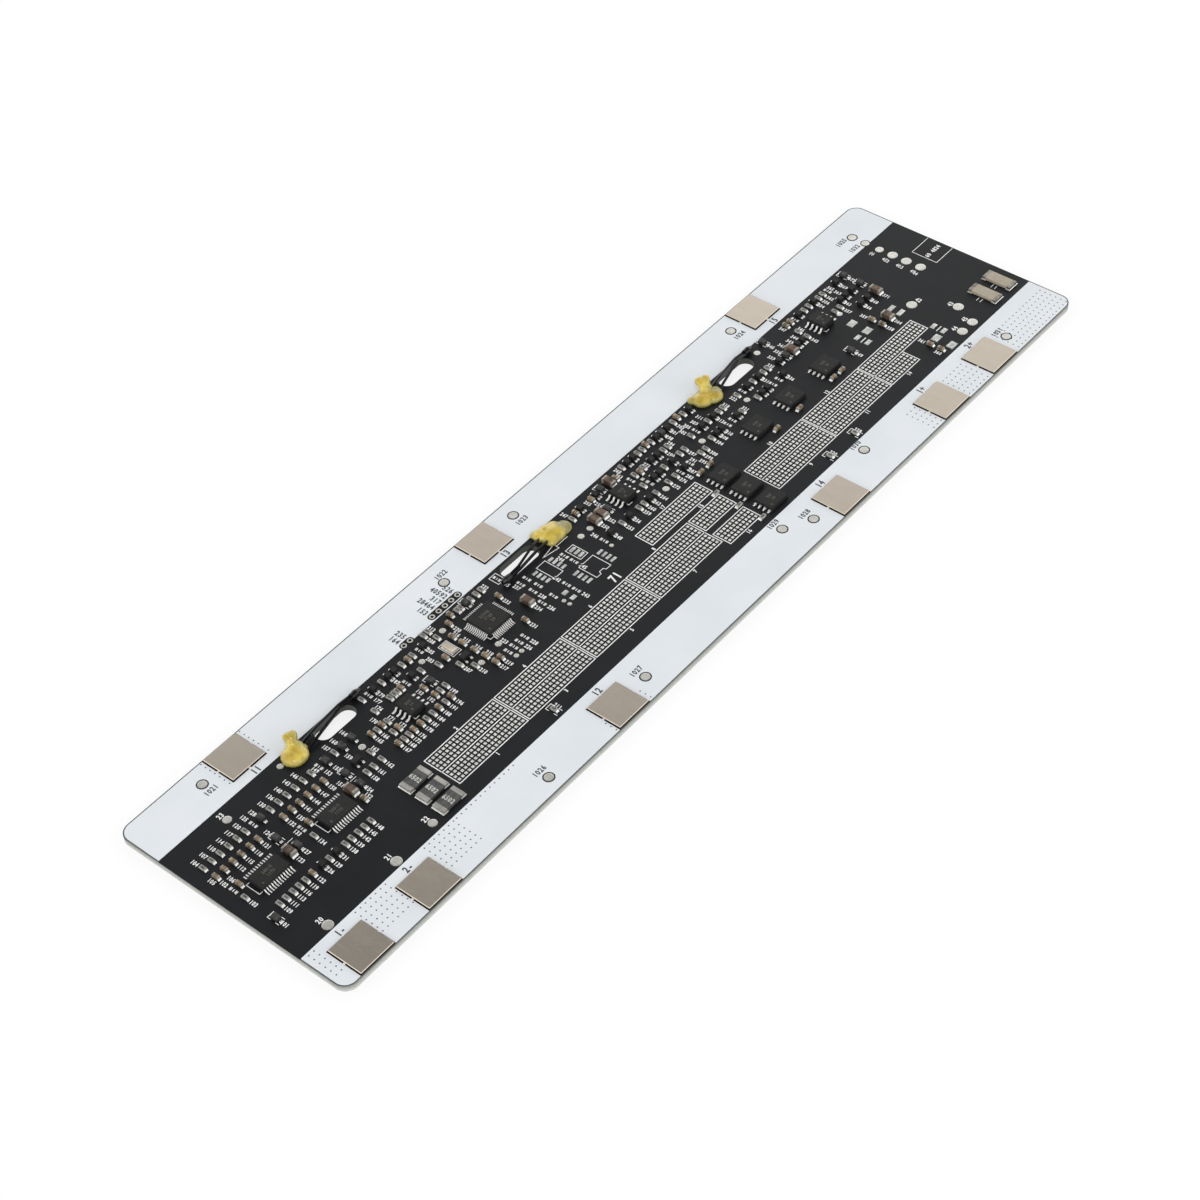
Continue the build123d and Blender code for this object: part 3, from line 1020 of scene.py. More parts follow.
    def write(
        self, tray: Tray, words: str, middle: Pair, height: float, base: float,
        turn: Turn = Turn.DOWN, thickness: float = INK,
    ) -> None:
        """Lay a row of signs.

        Args:
            tray: Where the copies go.
            words: The signs.
            middle: X and Y of the row's centre, in metres.
            height: Height of a sign, in metres.
            base: Height that the print lies on, in metres.
            turn: The way it reads.
            thickness: Thickness of the print, in metres.
        """
        angle = math.radians(turn.value)
        advance = self.advance * height
        for number, sign in enumerate(words):
            along = (number - (len(words) - 1) / 2) * advance
            place = (
                Matrix.Translation((middle[0], middle[1], base))
                @ Matrix.Rotation(angle, 4, "Z")
                @ Matrix.Translation((along, 0, 0))
                @ Matrix.Diagonal((height * self.narrow, height, thickness, 1.0))
            )
            tray.put(self.glyph(sign), place)


# The board's plan


def around(spot: Pair, reach: float, rise: float) -> Area:
    """Area round a place, from its half sizes in metres."""
    return spot[0] - reach, spot[1] - rise, spot[0] + reach, spot[1] + rise


class Plan:
    """Turns places on the board, in millimetres from its near corner, into metres."""

    def __init__(self) -> None:
        """Read the board's and the print's boxes."""
        self.low, self.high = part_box("board")
        self.top = self.high.z
        near_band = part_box("white_band_near")
        far_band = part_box("white_band_far")
        self.ink = far_band[1].z
        self.print_low = near_band[1].y
        self.print_high = far_band[0].y

    def at(self, station: float, row: float) -> Pair:
        """X and Y in metres of a place on the board."""
        return self.low.x + station * MM, self.low.y + row * MM


@dataclass
class Sheet:
    """Places already taken on the board, so that labels stay clear of parts."""

    taken: list[Area] = field(default_factory=list)

    def is_free(self, area: Area) -> bool:
        """Whether nothing taken reaches into an area."""
        left, low, right, high = area
        return not any(l < right and r > left and b < high and t > low for l, b, r, t in self.taken)

    def take(self, area: Area) -> None:
        """Mark an area as taken."""
        self.taken.append(area)


@dataclass
class Context:
    """What every sub-assembly needs: models, the plan, the shared trays and the taken places."""

    models: Models
    plan: Plan
    sheet: Sheet = field(default_factory=Sheet)
    silk: Tray = field(default_factory=Tray)
    labels: Tray = field(default_factory=Tray)
    dark: Tray = field(default_factory=Tray)
    solder: Tray = field(default_factory=Tray)
    pads: Tray = field(default_factory=Tray)
    marks: Tray = field(default_factory=Tray)
    windows: Tray = field(default_factory=Tray)
    vias: Tray = field(default_factory=Tray)
    drawn: set[tuple[float, ...]] = field(default_factory=set)
    ink_along: float = 0.02
    ink_across: float = 0.026
    dark_ink: float = 0.015
    pad_height: float = 0.05

    def joint(self, tip: Pair, width: float, length: float, height: float, angle: float) -> None:
        """Lay a solder fillet that runs out from a part.

        Args:
            tip: X and Y where it meets the part, in metres.
            width: Width in metres.
            length: How far it runs out, in metres.
            height: Height at the part, in metres.
            angle: Way it runs, in radians from +X.
        """
        middle = (tip[0] + math.cos(angle) * length / 2, tip[1] + math.sin(angle) * length / 2)
        self.solder.put_sized(
            self.models.fillet, middle, (width, length, height), self.plan.top, angle + math.pi / 2
        )

    def stroke(self, start: Pair, end: Pair, width: float = PEN) -> None:
        """Print a white stroke between two places on the plan, unless it's there.

        Args:
            start: Station and row of one end, in millimetres.
            end: The same of the other end.
            width: Its width in millimetres.
        """
        key = tuple(round(level, 1) for level in (*start, *end))
        if key in self.drawn:
            return
        self.drawn.add(key)
        first = Vector(self.plan.at(*start))
        last = Vector(self.plan.at(*end))
        run = last - first
        middle = (first + last) / 2
        size = (
            run.length + width * MM, width * MM,
            (self.ink_along if abs(run.x) > abs(run.y) else self.ink_across) * MM,
        )
        angle = math.atan2(run.y, run.x)
        self.silk.put_sized(self.models.bar, (middle.x, middle.y), size, self.plan.top, angle)

    def strokes(self, lines: Iterable[Area], width: float = PEN) -> None:
        """Print strokes, each given by the station and row of both ends."""
        for station, row, end_station, end_row in lines:
            self.stroke((station, row), (end_station, end_row), width)

    def outline(
        self, left: float, low: float, right: float, high: float, width: float = PEN,
        closed: bool = True,
    ) -> None:
        """Print a white rectangle, in millimetres on the plan.

        Args:
            left: Lowest station.
            low: Lowest row.
            right: Highest station.
            high: Highest row.
            width: Width of the strokes.
            closed: Whether the side at the highest row is printed too.
        """
        sides = [(left, low, right, low), (left, low, left, high), (right, low, right, high)]
        if closed:
            sides.append((left, high, right, high))
        self.strokes(sides, width)

    def bare_pad(
        self, middle: Pair, length: float, width: float, tray: Tray | None = None
    ) -> None:
        """Lay an empty solder pad, with its sizes in millimetres.

        Args:
            middle: Station and row of its centre.
            length: Size along X.
            width: Size along Y.
            tray: Where it goes, if not with the usual pads.
        """
        spot = self.plan.at(*middle)
        size = (length * MM, width * MM, self.pad_height * MM)
        (tray or self.pads).put_sized(self.models.pad, spot, size, self.plan.top)
        self.sheet.take(around(spot, length / 2 * MM, width / 2 * MM))

    def label(self, words: str, middle: Pair, height: float, turn: Turn = Turn.DOWN) -> None:
        """Print a white label centred on a place of the plan."""
        self.models.write(self.labels, words, self.plan.at(*middle), height * MM, self.plan.top, turn)

    def dark_label(self, words: str, middle: Pair, height: float, turn: Turn = Turn.ALONG) -> None:
        """Print a dark label on a white band."""
        spot = self.plan.at(*middle)
        self.models.write(self.dark, words, spot, height * MM, self.plan.ink, turn, self.dark_ink * MM)

    def flush(self) -> None:
        """Turn the shared trays into pieces."""
        self.silk.piece("printed_outlines", SILK, Slot.PRINT)
        self.labels.piece("printed_numbers", SILK, Slot.PRINT)
        self.dark.piece("band_print", DARK_PRINT, Slot.LAMINATE)
        self.solder.piece("solder_joints", JOINT, Slot.TIN)
        self.pads.piece("empty_pads", SOLDER, Slot.TIN)
        self.marks.piece("chip_marks", CHIP_MARK, Slot.PRINT)
        self.windows.piece("print_windows", WINDOW, Slot.LAMINATE)
        self.vias.piece("via_spots", VIA, Slot.LAMINATE)


# Sub-assemblies


@dataclass
class Laminate:
    """The board with its white bands and the vias that show through them."""

    via_size: float = 0.36
    via_height: float = 0.012
    pitch: float = 1.42
    near_rows: tuple[float, ...] = (4.2, 5.65, 7.1, 8.6, 10.05, 11.5)
    end_rows: tuple[float, ...] = (1.05, 2.55, 4.0, 5.45, 6.9, 8.35)
    far_rows: tuple[float, ...] = (54.6, 56.1, 57.5, 58.9, 60.3, 61.6, 63.0)
    low_rows: tuple[float, ...] = (0.9, 2.3, 3.7)
    near_fields: tuple[tuple[float, int], ...] = ((1.7, 2), (14.6, 7), (34.3, 7))
    end_fields: tuple[tuple[float, int], ...] = ((192.65, 3), (206.75, 6), (226.6, 15))
    row_field: tuple[float, int] = (43.8, 13)
    far_columns: tuple[float, ...] = (22.9, 34.0)
    low_columns: tuple[float, ...] = (80.6, 91.7)

    def grid(self, ctx: Context, first: float, count: int, rows: Iterable[float]) -> None:
        """Show a field of plugged vias as small dark spots on the print.

        Args:
            ctx: Shared context.
            first: Station of the first column.
            count: Number of columns.
            rows: Rows of the field.
        """
        size = (self.via_size * MM, self.via_size * MM, self.via_height * MM)
        for number in range(count):
            for row in rows:
                spot = ctx.plan.at(first + number * self.pitch, row)
                ctx.vias.put_sized(ctx.models.via, spot, size, ctx.plan.ink)

    def build(self, ctx: Context) -> None:
        """Dress the board and its print.

        Args:
            ctx: Shared context.
        """
        dress(["board"], MASK)
        dress(["white_band_near", "white_band_far"], WHITE_PRINT)
        for first, count in self.near_fields:
            self.grid(ctx, first, count, self.near_rows)
        for first, count in self.end_fields:
            self.grid(ctx, first, count, self.end_rows)
        self.grid(ctx, *self.row_field, self.near_rows[-1:])
        for station in self.far_columns:
            self.grid(ctx, station, 1, self.far_rows)
        for station in self.low_columns:
            self.grid(ctx, station, 1, self.low_rows)


@dataclass
class WeldTabs:
    """Nine nickel tabs, the print's ticks across their windows and the signs beside them."""

    near: tuple[str, ...] = (
        "tab_negative_1", "tab_negative_2", "tab_cell_2", "tab_cell_4", "tab_positive_1",
        "tab_positive_2",
    )
    far: tuple[str, ...] = ("tab_cell_1", "tab_cell_3", "tab_cell_5")
    near_signs: tuple[str, ...] = ("1-", "2-", "12", "14", "1+", "2+")
    far_signs: tuple[str, ...] = ("11", "13", "15")
    near_row: float = 10.75
    far_row: float = 52.85
    sign_height: float = 1.65
    sign_shift: float = 0.3
    tick: float = 0.42
    tick_width: float = 0.5
    tick_height: float = 0.06
    gap: float = 0.25
    overlap: float = 0.1

    def ticks(self, ctx: Context, box: SolidBox) -> None:
        """Bridge the dark window with print at the middle of each side that has one.

        Args:
            ctx: Shared context.
            box: The tab's box.
        """
        out = self.gap / 2 * MM
        middle = box.middle
        inner = box.high.y + out if middle.y < 0 else box.low.y - out
        sides = (
            (box.low.x - out, middle.y, 0.0),
            (box.high.x + out, middle.y, 0.0),
            (middle.x, inner, math.pi / 2),
        )
        reach = (self.tick / 2 - self.gap / 2) * MM
        size = ((self.gap + self.overlap) * MM + reach, self.tick_width * MM, self.tick_height * MM)
        for x, y, angle in sides:
            ctx.silk.put_sized(ctx.models.bar, (x, y), size, ctx.plan.top, angle)

    def build(self, ctx: Context) -> None:
        """Dress the tabs and print beside them.

        Args:
            ctx: Shared context.
        """
        dress(self.near + self.far, NICKEL)
        for name in self.near + self.far:
            self.ticks(ctx, SolidBox(*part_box(name)))
        for names, signs, row in (
            (self.near, self.near_signs, self.near_row), (self.far, self.far_signs, self.far_row),
        ):
            for name, words in zip(names, signs):
                low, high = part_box(name)
                station = ((low.x + high.x) / 2 - ctx.plan.low.x) / MM
                ctx.dark_label(words, (station + self.sign_shift, row), self.sign_height)


@dataclass
class DotFields:
    """Fields of tinned solder dots inside printed outlines."""

    pitch: float = 1.02
    row_pitch: float = 1.06
    size: float = 0.63
    height: float = 0.12
    rows: int = 4
    columns: int = 20
    margin: float = 0.5
    depth: float = 4.9
    pen: float = 0.23
    near_row: float = 17.0
    far_row: float = 21.9
    sign_height: float = 1.0
    sign_gap: float = 0.85
    pairs: tuple[float, ...] = (50.9, 72.3, 93.7, 115.1, 156.5, 177.8)
    singles: tuple[tuple[float, float, int], ...] = (
        (199.1, 21.9, 20), (199.1, 17.0, 10), (136.6, 21.9, 10), (136.6, 15.1, 10), (126.3, 28.5, 20),
    )
    unsigned: Pair = (199.1, 21.9)

    def lay_field(
        self, ctx: Context, tray: Tray, left: float, low: float, columns: int, number: int
    ) -> None:
        """Lay one field with its outline and a small number outside it.

        Args:
            ctx: Shared context.
            tray: Where the dots go.
            left: Lowest station.
            low: Lowest row.
            columns: Count of columns.
            number: The number to print.
        """
        width = columns * self.pitch + self.margin
        ctx.outline(left, low, left + width, low + self.depth, self.pen, low != self.near_row)
        first = left + (width - (columns - 1) * self.pitch) / 2
        first_row = low + (self.depth - (self.rows - 1) * self.row_pitch) / 2
        size = (self.size * MM, self.size * MM, self.height * MM)
        for column in range(columns):
            for row in range(self.rows):
                spot = ctx.plan.at(first + column * self.pitch, first_row + row * self.row_pitch)
                tray.put_sized(ctx.models.dot, spot, size, ctx.plan.top)
        row = low - self.sign_gap if low < self.far_row else low + self.depth + self.sign_gap
        if (left, low) != self.unsigned:
            ctx.label(str(number), (left + width / 2, row), self.sign_height, Turn.ALONG)
        corner = ctx.plan.at(left, low)
        far = ctx.plan.at(left + width, low + self.depth)
        ctx.sheet.take((*corner, *far))

    def build(self, ctx: Context) -> None:
        """Lay every field.

        Args:
            ctx: Shared context.
        """
        tray = Tray()
        rows = (self.near_row, self.far_row)
        fields = [(left, row, self.columns) for left in self.pairs for row in rows]
        for number, (left, low, columns) in enumerate(fields + list(self.singles), start=1):
            self.lay_field(ctx, tray, left, low, columns, number)
        tray.piece("solder_dot_fields", SOLDER, Slot.TIN)


@dataclass
class TestPads:
    """Round test pads on the mask and ringed ones on the white bands."""

    ring: float = 2.72
    ring_height: float = 0.012
    face: float = 2.12
    face_height: float = 0.03
    plain_height: float = 0.05
    clear: float = 0.1
    band_edge: float = 51.65
    middle_row: float = 30.0
    low_shift: Pair = (0.0, 2.6)
    high_shift: Pair = (0.0, -2.5)
    beside: tuple[tuple[float, Pair], ...] = ((90.9, (1.3, 2.2)), (237.3, (-3.2, 1.0)))
    first_ringed: int = 1021
    first_plain: int = 20
    ringed_height: float = 1.3
    # Which plain pads are numbered, each with the sign's shift along and across and its height
    lone: float = 224.8
    lone_sign: Triple = (2.4, -0.3, 1.2)
    end: float = 236.0
    end_sign: Triple = (-1.1, 0.6, 1.0)
    large: float = 1.9
    large_sign: Triple = (-0.2, 0.85, 1.2)
    ringed: tuple[Pair, ...] = (
        (19.35, 58.9), (90.9, 57.7), (115.4, 59.3), (192.6, 58.7), (237.3, 56.2), (62.8, 3.7),
        (95.4, 5.3), (153.2, 5.2), (146.7, 8.8), (177.5, 9.3), (228.0, 5.4), (237.3, 52.3),
    )
    plain: tuple[Triple, ...] = (
        (9.2, 13.7, 2.5), (28.6, 13.7, 2.5), (40.0, 14.5, 2.05), (15.9, 48.2, 2.0), (32.3, 49.5, 1.5),
        (46.1, 39.6, 1.6), (70.9, 45.8, 1.45), (80.1, 48.3, 1.5), (78.2, 35.5, 1.5), (84.3, 36.2, 1.55),
        (84.0, 30.9, 1.15), (85.7, 30.9, 1.15), (102.1, 33.2, 1.0), (102.1, 31.6, 1.0),
        (119.2, 42.9, 1.55), (122.3, 42.9, 1.55), (121.0, 35.7, 1.0), (141.8, 37.3, 1.6),
        (158.7, 40.5, 1.6), (175.6, 40.8, 1.55), (189.9, 48.9, 1.6), (212.3, 41.7, 1.55),
        (224.8, 29.8, 2.6), (230.5, 20.5, 2.6), (223.7, 14.7, 2.5), (227.8, 14.7, 2.5),
        (237.3, 48.1, 2.1), (237.4, 44.3, 2.55), (237.4, 40.3, 2.55), (237.5, 36.2, 2.55),
    )

    def lay_ringed(self, ctx: Context, tray: Tray, number: int, place: Pair) -> None:
        """Lay a ringed pad with its dark window and its number.

        Args:
            ctx: Shared context.
            tray: Where the pad goes.
            number: The number to print.
            place: Station and row.
        """
        station, row = place
        spot = ctx.plan.at(station, row)
        on_mask = self.middle_row < row < self.band_edge + self.ring
        base = ctx.plan.top if on_mask else ctx.plan.ink
        lift = ctx.plan.ink - base
        ctx.windows.put_sized(
            ctx.models.disc, spot, (self.ring * MM, self.ring * MM, lift + self.ring_height * MM), base
        )
        tray.put_sized(
            ctx.models.disc, spot, (self.face * MM, self.face * MM, lift + self.face_height * MM), base
        )
        usual = self.high_shift if row > self.middle_row else self.low_shift
        along, across = dict(self.beside).get(station, usual)
        ctx.dark_label(str(number), (station + along, row + across), self.ringed_height)

    def lay_plain(self, ctx: Context, tray: Tray, number: int, pad: Triple) -> None:
        """Lay a pad on the mask, with its number if it is a larger one.

        Args:
            ctx: Shared context.
            tray: Where the pad goes.
            number: The number to print.
            pad: Station, row and diameter.
        """
        station, row, size = pad
        spot = ctx.plan.at(station, row)
        sizes = (size * MM, size * MM, self.plain_height * MM)
        tray.put_sized(ctx.models.disc, spot, sizes, ctx.plan.top)
        reach = (size / 2 + self.clear) * MM
        ctx.sheet.take(around(spot, reach, reach))
        if station == self.lone:
            along, across, height = self.lone_sign
            ctx.label(str(number), (station + along, row + across), height)
        elif station > self.end:
            along, across, height = self.end_sign
            ctx.label(str(number), (station - size / 2 + along, row + across), height)
        elif size > self.large:
            along, across, height = self.large_sign
            ctx.label(str(number), (station + along, row + size / 2 + across), height, Turn.ALONG)

    def build(self, ctx: Context) -> None:
        """Lay all the pads and number the larger ones.

        Args:
            ctx: Shared context.
        """
        tray = Tray()
        for number, place in enumerate(self.ringed, start=self.first_ringed):
            self.lay_ringed(ctx, tray, number, place)
        for number, pad in enumerate(self.plain, start=self.first_plain):
            self.lay_plain(ctx, tray, number, pad)
        tray.piece("test_pads", PAD, Slot.TIN)


@dataclass
class ProgrammingHoles:
    """Plated collars round the drilled programming holes."""

    rows: tuple[tuple[float, tuple[tuple[float, str], ...]], ...] = (
        (52.0, ((72.0, "164"), (73.9, "235"))),
        (52.9, ((81.8, "153"), (83.9, "28464"), (85.9, "317"), (87.9, "40592"), (89.9, "526"))),
    )
    collar: float = 1.35
    collar_height: float = 0.06
    sign_gap: float = 1.35
    advance: float = 0.9

    def build(self, ctx: Context) -> None:
        """Lay a collar on each hole and number the rows.

        Args:
            ctx: Shared context.
        """
        tray = Tray()
        size = (self.collar * MM, self.collar * MM, self.collar_height * MM)
        for row, stations in self.rows:
            for station, digits in stations:
                tray.put_sized(ctx.models.ring, ctx.plan.at(station, row), size, ctx.plan.top)
                reach = self.sign_gap + len(digits) * self.advance / 2
                spot = (station, row + reach)
                ctx.dark_label(digits, spot, self.advance / Models.advance, Turn.DOWN)
        tray.piece("hole_collars", PAD, Slot.TIN)


@dataclass
class MouldedChips:
    """Chips with bent leads: solder under each foot, a dimple and faint numbers on each case."""

    foot_reach: float = 0.36
    foot_out: float = 0.1
    foot_length: float = 2.2
    foot_height: float = 0.06
    line_step: float = 1.5
    mark_sink: float = 0.006
    mark_thickness: float = 0.012
    dimple: float = 0.5
    dimple_place: Pair = (2.2, 1.8)
    dimple_height: float = 0.008
    dimple_sink: float = 0.004
    clear: float = 1.5
    # Cases, leads, numbers on a case, their height, and the width of the solder over a foot's
    chips: tuple[tuple[str, str, tuple[str, ...], float, float], ...] = (
        ("monitor_1_body", "monitor_1_leads", ("24010", "1170"), 0.8, 1.25),
        ("monitor_2_body", "monitor_2_leads", ("24010", "1170"), 0.8, 1.25),
        ("controller_body", "controller_leads", ("32048", "7100", "24"), 0.85, 0.95),
        ("small_chip_bodies", "small_chip_leads", ("8205", "24"), 0.65, 1.15),
        ("power_transistor_bodies", "power_transistor_leads", ("060", "24"), 0.8, 0.8),
    )

    def feet(self, ctx: Context, case: SolidBox, leads: Iterable[SolidBox], share: float) -> None:
        """Lay a solder pad under each foot, past its tip.

        Args:
            ctx: Shared context.
            case: The chip's box.
            leads: Boxes of its leads.
            share: Width of a pad over the foot's.
        """
        reach = self.foot_reach * MM
        for lead in leads:
            axis = case.axis_to(lead)
            middle = list(lead.spot)
            if lead.middle[axis] > case.middle[axis]:
                middle[axis] = lead.high[axis] + reach * self.foot_out
            else:
                middle[axis] = lead.low[axis] - reach * self.foot_out
            size = [lead.size.x * share, lead.size.y * share, self.foot_height * MM]
            size[axis] = reach * self.foot_length
            ctx.solder.put_sized(ctx.models.pad, tuple(middle), tuple(size), ctx.plan.top)

    def mark(self, ctx: Context, case: SolidBox, lines: tuple[str, ...], height: float) -> None:
        """Mark a case with faint numbers and a dimple by its first lead.

        Args:
            ctx: Shared context.
            case: The chip's box.
            lines: The numbers, from the top line down.
            height: Height of the signs, in millimetres.
        """
        step = self.line_step * height * MM
        base = case.high.z - self.mark_sink * MM
        for number, words in enumerate(lines):
            spot = (case.middle.x, case.middle.y + ((len(lines) - 1) / 2 - number) * step)
            ctx.models.write(
                ctx.marks, words, spot, height * MM, base, Turn.ALONG, self.mark_thickness * MM
            )
        size = self.dimple * MM
        spot = (case.low.x + self.dimple_place[0] * size, case.low.y + self.dimple_place[1] * size)
        ctx.marks.put_sized(
            ctx.models.disc, spot, (size, size, self.dimple_height * MM),
            case.high.z - self.dimple_sink * MM,
        )

    def build(self, ctx: Context) -> None:
        """Dress the chips, solder their feet and mark their cases.

        Args:
            ctx: Shared context.
        """
        dress([chip[0] for chip in self.chips], MOULDING)
        dress([chip[1] for chip in self.chips], LEAD)
        for case_node, lead_node, lines, height, share in self.chips:
            leads = solid_boxes(lead_node)
            cases = solid_boxes(case_node)
            for case in cases:
                near = [
                    lead for lead in leads
                    if case is min(cases, key=lambda box: (lead.middle - box.middle).length)
                ]
                self.feet(ctx, case, near, share)
                ctx.sheet.take(case.flat(self.clear * MM))
                self.mark(ctx, case, lines, height)


@dataclass
class ChipParts:
    """Chip resistors and capacitors: their terminals, coats and solder."""

    proud: float = 0.025
    run: float = 0.38
    rise: float = 0.36
    crown: float = 0.8
    lean: float = 0.45
    coat_gap: float = 0.1
    coat_inset: float = 0.24
    coat_height: float = 0.03
    clear: float = 0.3
    terminals: tuple[tuple[str, float], ...] = (
        ("resistors", 0.26), ("capacitors", 0.36), ("large_capacitors", 0.5),
    )

    def wrap(self, ctx: Context, tray: Tray, box: SolidBox, terminal: float) -> None:
        """Wrap both ends of one chip and lay the solder that runs out from them.

        Args:
            ctx: Shared context.
            tray: Where the terminals go.
            box: The chip's box.
            terminal: Length of a terminal, in millimetres.
        """
        half = max(box.size.x, box.size.y) / 2
        width = min(box.size.x, box.size.y) + self.proud * MM
        height = box.size.z + self.proud * MM / 2
        length = (terminal + self.proud) * MM
        first = math.pi / 2 if box.size.y > box.size.x else 0.0
        for angle in (first, first + math.pi):
            reach = half - terminal * MM / 2 + self.proud * MM / 2
            way = Vector((math.cos(angle), math.sin(angle)))
            middle = (box.middle.x + way.x * reach, box.middle.y + way.y * reach)
            sizes = (width, length, height)
            tray.put_sized(ctx.models.cap, middle, sizes, box.low.z, angle + math.pi / 2)
            tip = (box.middle.x + way.x * half, box.middle.y + way.y * half)
            share = self.lean if way.x + way.y > 0 else 1.0
            rise = min(self.rise * MM, height * self.crown) * share
            ctx.joint(tip, width, self.run * share * MM, rise, angle)

    def coat(self, ctx: Context, tray: Tray, box: SolidBox, terminal: float) -> None:
        """Lay the dark coat over the top of one resistor.

        Args:
            ctx: Shared context.
            tray: Where the coat goes.
            box: The resistor's box.
            terminal: Length of a terminal, in millimetres.
        """
        long = max(box.size.x, box.size.y) - (2 * terminal + self.coat_gap) * MM
        wide = min(box.size.x, box.size.y) - self.coat_inset * MM
        angle = math.pi / 2 if box.size.y > box.size.x else 0.0
        size = (long, wide, self.coat_height * MM)
        tray.put_sized(ctx.models.cap, box.spot, size, box.high.z, angle)

    def build(self, ctx: Context) -> None:
        """Dress and wrap every chip part.

        Args:
            ctx: Shared context.
        """
        dress(["resistors"], ALUMINA)
        dress(["capacitors"], CAPACITOR)
        dress(["large_capacitors"], LARGE_CAPACITOR)
        ends = Tray()
        coats = Tray()
        for node, terminal in self.terminals:
            for box in solid_boxes(node):
                self.wrap(ctx, ends, box, terminal)
                ctx.sheet.take(box.flat(self.clear * MM))
                if node == "resistors":
                    self.coat(ctx, coats, box, terminal)
        ends.piece("chip_terminals", TERMINAL, Slot.TIN)
        coats.piece("resistor_coats", RESISTOR_COAT, Slot.RESISTOR)


@dataclass
class SmallCases:
    """Three-lead transistors and two-lead diodes."""

    run: float = 0.46
    rise: float = 0.24
    overlap: float = 0.02
    lean: float = 0.6
    clear: float = 0.5
    kinds: tuple[tuple[str, str, float, Finish], ...] = (
        ("transistor_bodies", "transistor_leads", 0.5, MOULDING),
        ("diode_bodies", "diode_leads", 0.72, SMALL_CASE),
    )

    def solder(self, ctx: Context, bodies: list[SolidBox], lead: SolidBox, width: float) -> None:
        """Run solder out from one lead, away from the case that it belongs to.

        Args:
            ctx: Shared context.
            bodies: Boxes of the cases.
            lead: The lead's box.
            width: Width of the solder, in millimetres.
        """
        body = min(bodies, key=lambda box: (box.middle - lead.middle).length)
        axis = body.axis_to(lead)
        if axis == 0:
            angle = 0.0 if lead.middle.x > body.middle.x else math.pi
        else:
            angle = math.pi / 2 if lead.middle.y > body.middle.y else -math.pi / 2
        start = lead.size[axis] / 2 - self.overlap * MM
        tip = (lead.middle.x + math.cos(angle) * start, lead.middle.y + math.sin(angle) * start)
        share = self.lean if math.cos(angle) + math.sin(angle) > 0 else 1.0
        ctx.joint(tip, width * MM, self.run * share * MM, self.rise * share * MM, angle)

    def build(self, ctx: Context) -> None:
        """Dress the cases and lay solder at every lead.

        Args:
            ctx: Shared context.
        """
        for body_node, lead_node, width, finish in self.kinds:
            dress([body_node], finish)
            # Leads of small cases get the darker tone, painted shade
            dress([lead_node], SHADED_SMALL_LEAD)
            bodies = solid_boxes(body_node)
            for lead in solid_boxes(lead_node):
                self.solder(ctx, bodies, lead, width)
            for box in bodies:
                ctx.sheet.take(box.flat(self.clear * MM))


@dataclass
class PowerPath:
    """Current-sense resistors, fuses and the crystal."""

    words: str = "6502"
    word_height: float = 1.15
    word_sink: float = 0.005
    foot: Triple = (0.5, 0.3, 0.1)
    end_clear: float = 0.3
    body_clear: float = 0.4
    finishes: tuple[tuple[str, Finish], ...] = (
        ("shunt_bodies", SHUNT_COAT), ("shunt_terminals", TIN_PLATE), ("fuse_terminals", FUSE_END),
        ("fuse_bodies", FUSE_CERAMIC), ("crystal", CAN_METAL),
    )

    def build(self, ctx: Context) -> None:
        """Dress them, solder their ends and print their numbers.

        Args:
            ctx: Shared context.
        """
        for node, finish in self.finishes:
            dress([node], finish)
        tray = Tray()
        for box in solid_boxes("shunt_bodies"):
            base = box.high.z - self.word_sink * MM
            ctx.models.write(tray, self.words, box.spot, self.word_height * MM, base)
        along, across, height = self.foot
        for node in ("shunt_terminals", "fuse_terminals", "crystal"):
            for box in solid_boxes(node):
                size = (box.size.x + along * MM, box.size.y + across * MM, height * MM)
                ctx.solder.put_sized(ctx.models.pad, box.spot, size, ctx.plan.top)
                ctx.sheet.take(box.flat(self.end_clear * MM))
        for node in ("shunt_bodies", "fuse_bodies"):
            for box in solid_boxes(node):
                ctx.sheet.take(box.flat(self.body_clear * MM))
        tray.piece("shunt_numbers", SHUNT_MARK, Slot.PRINT)


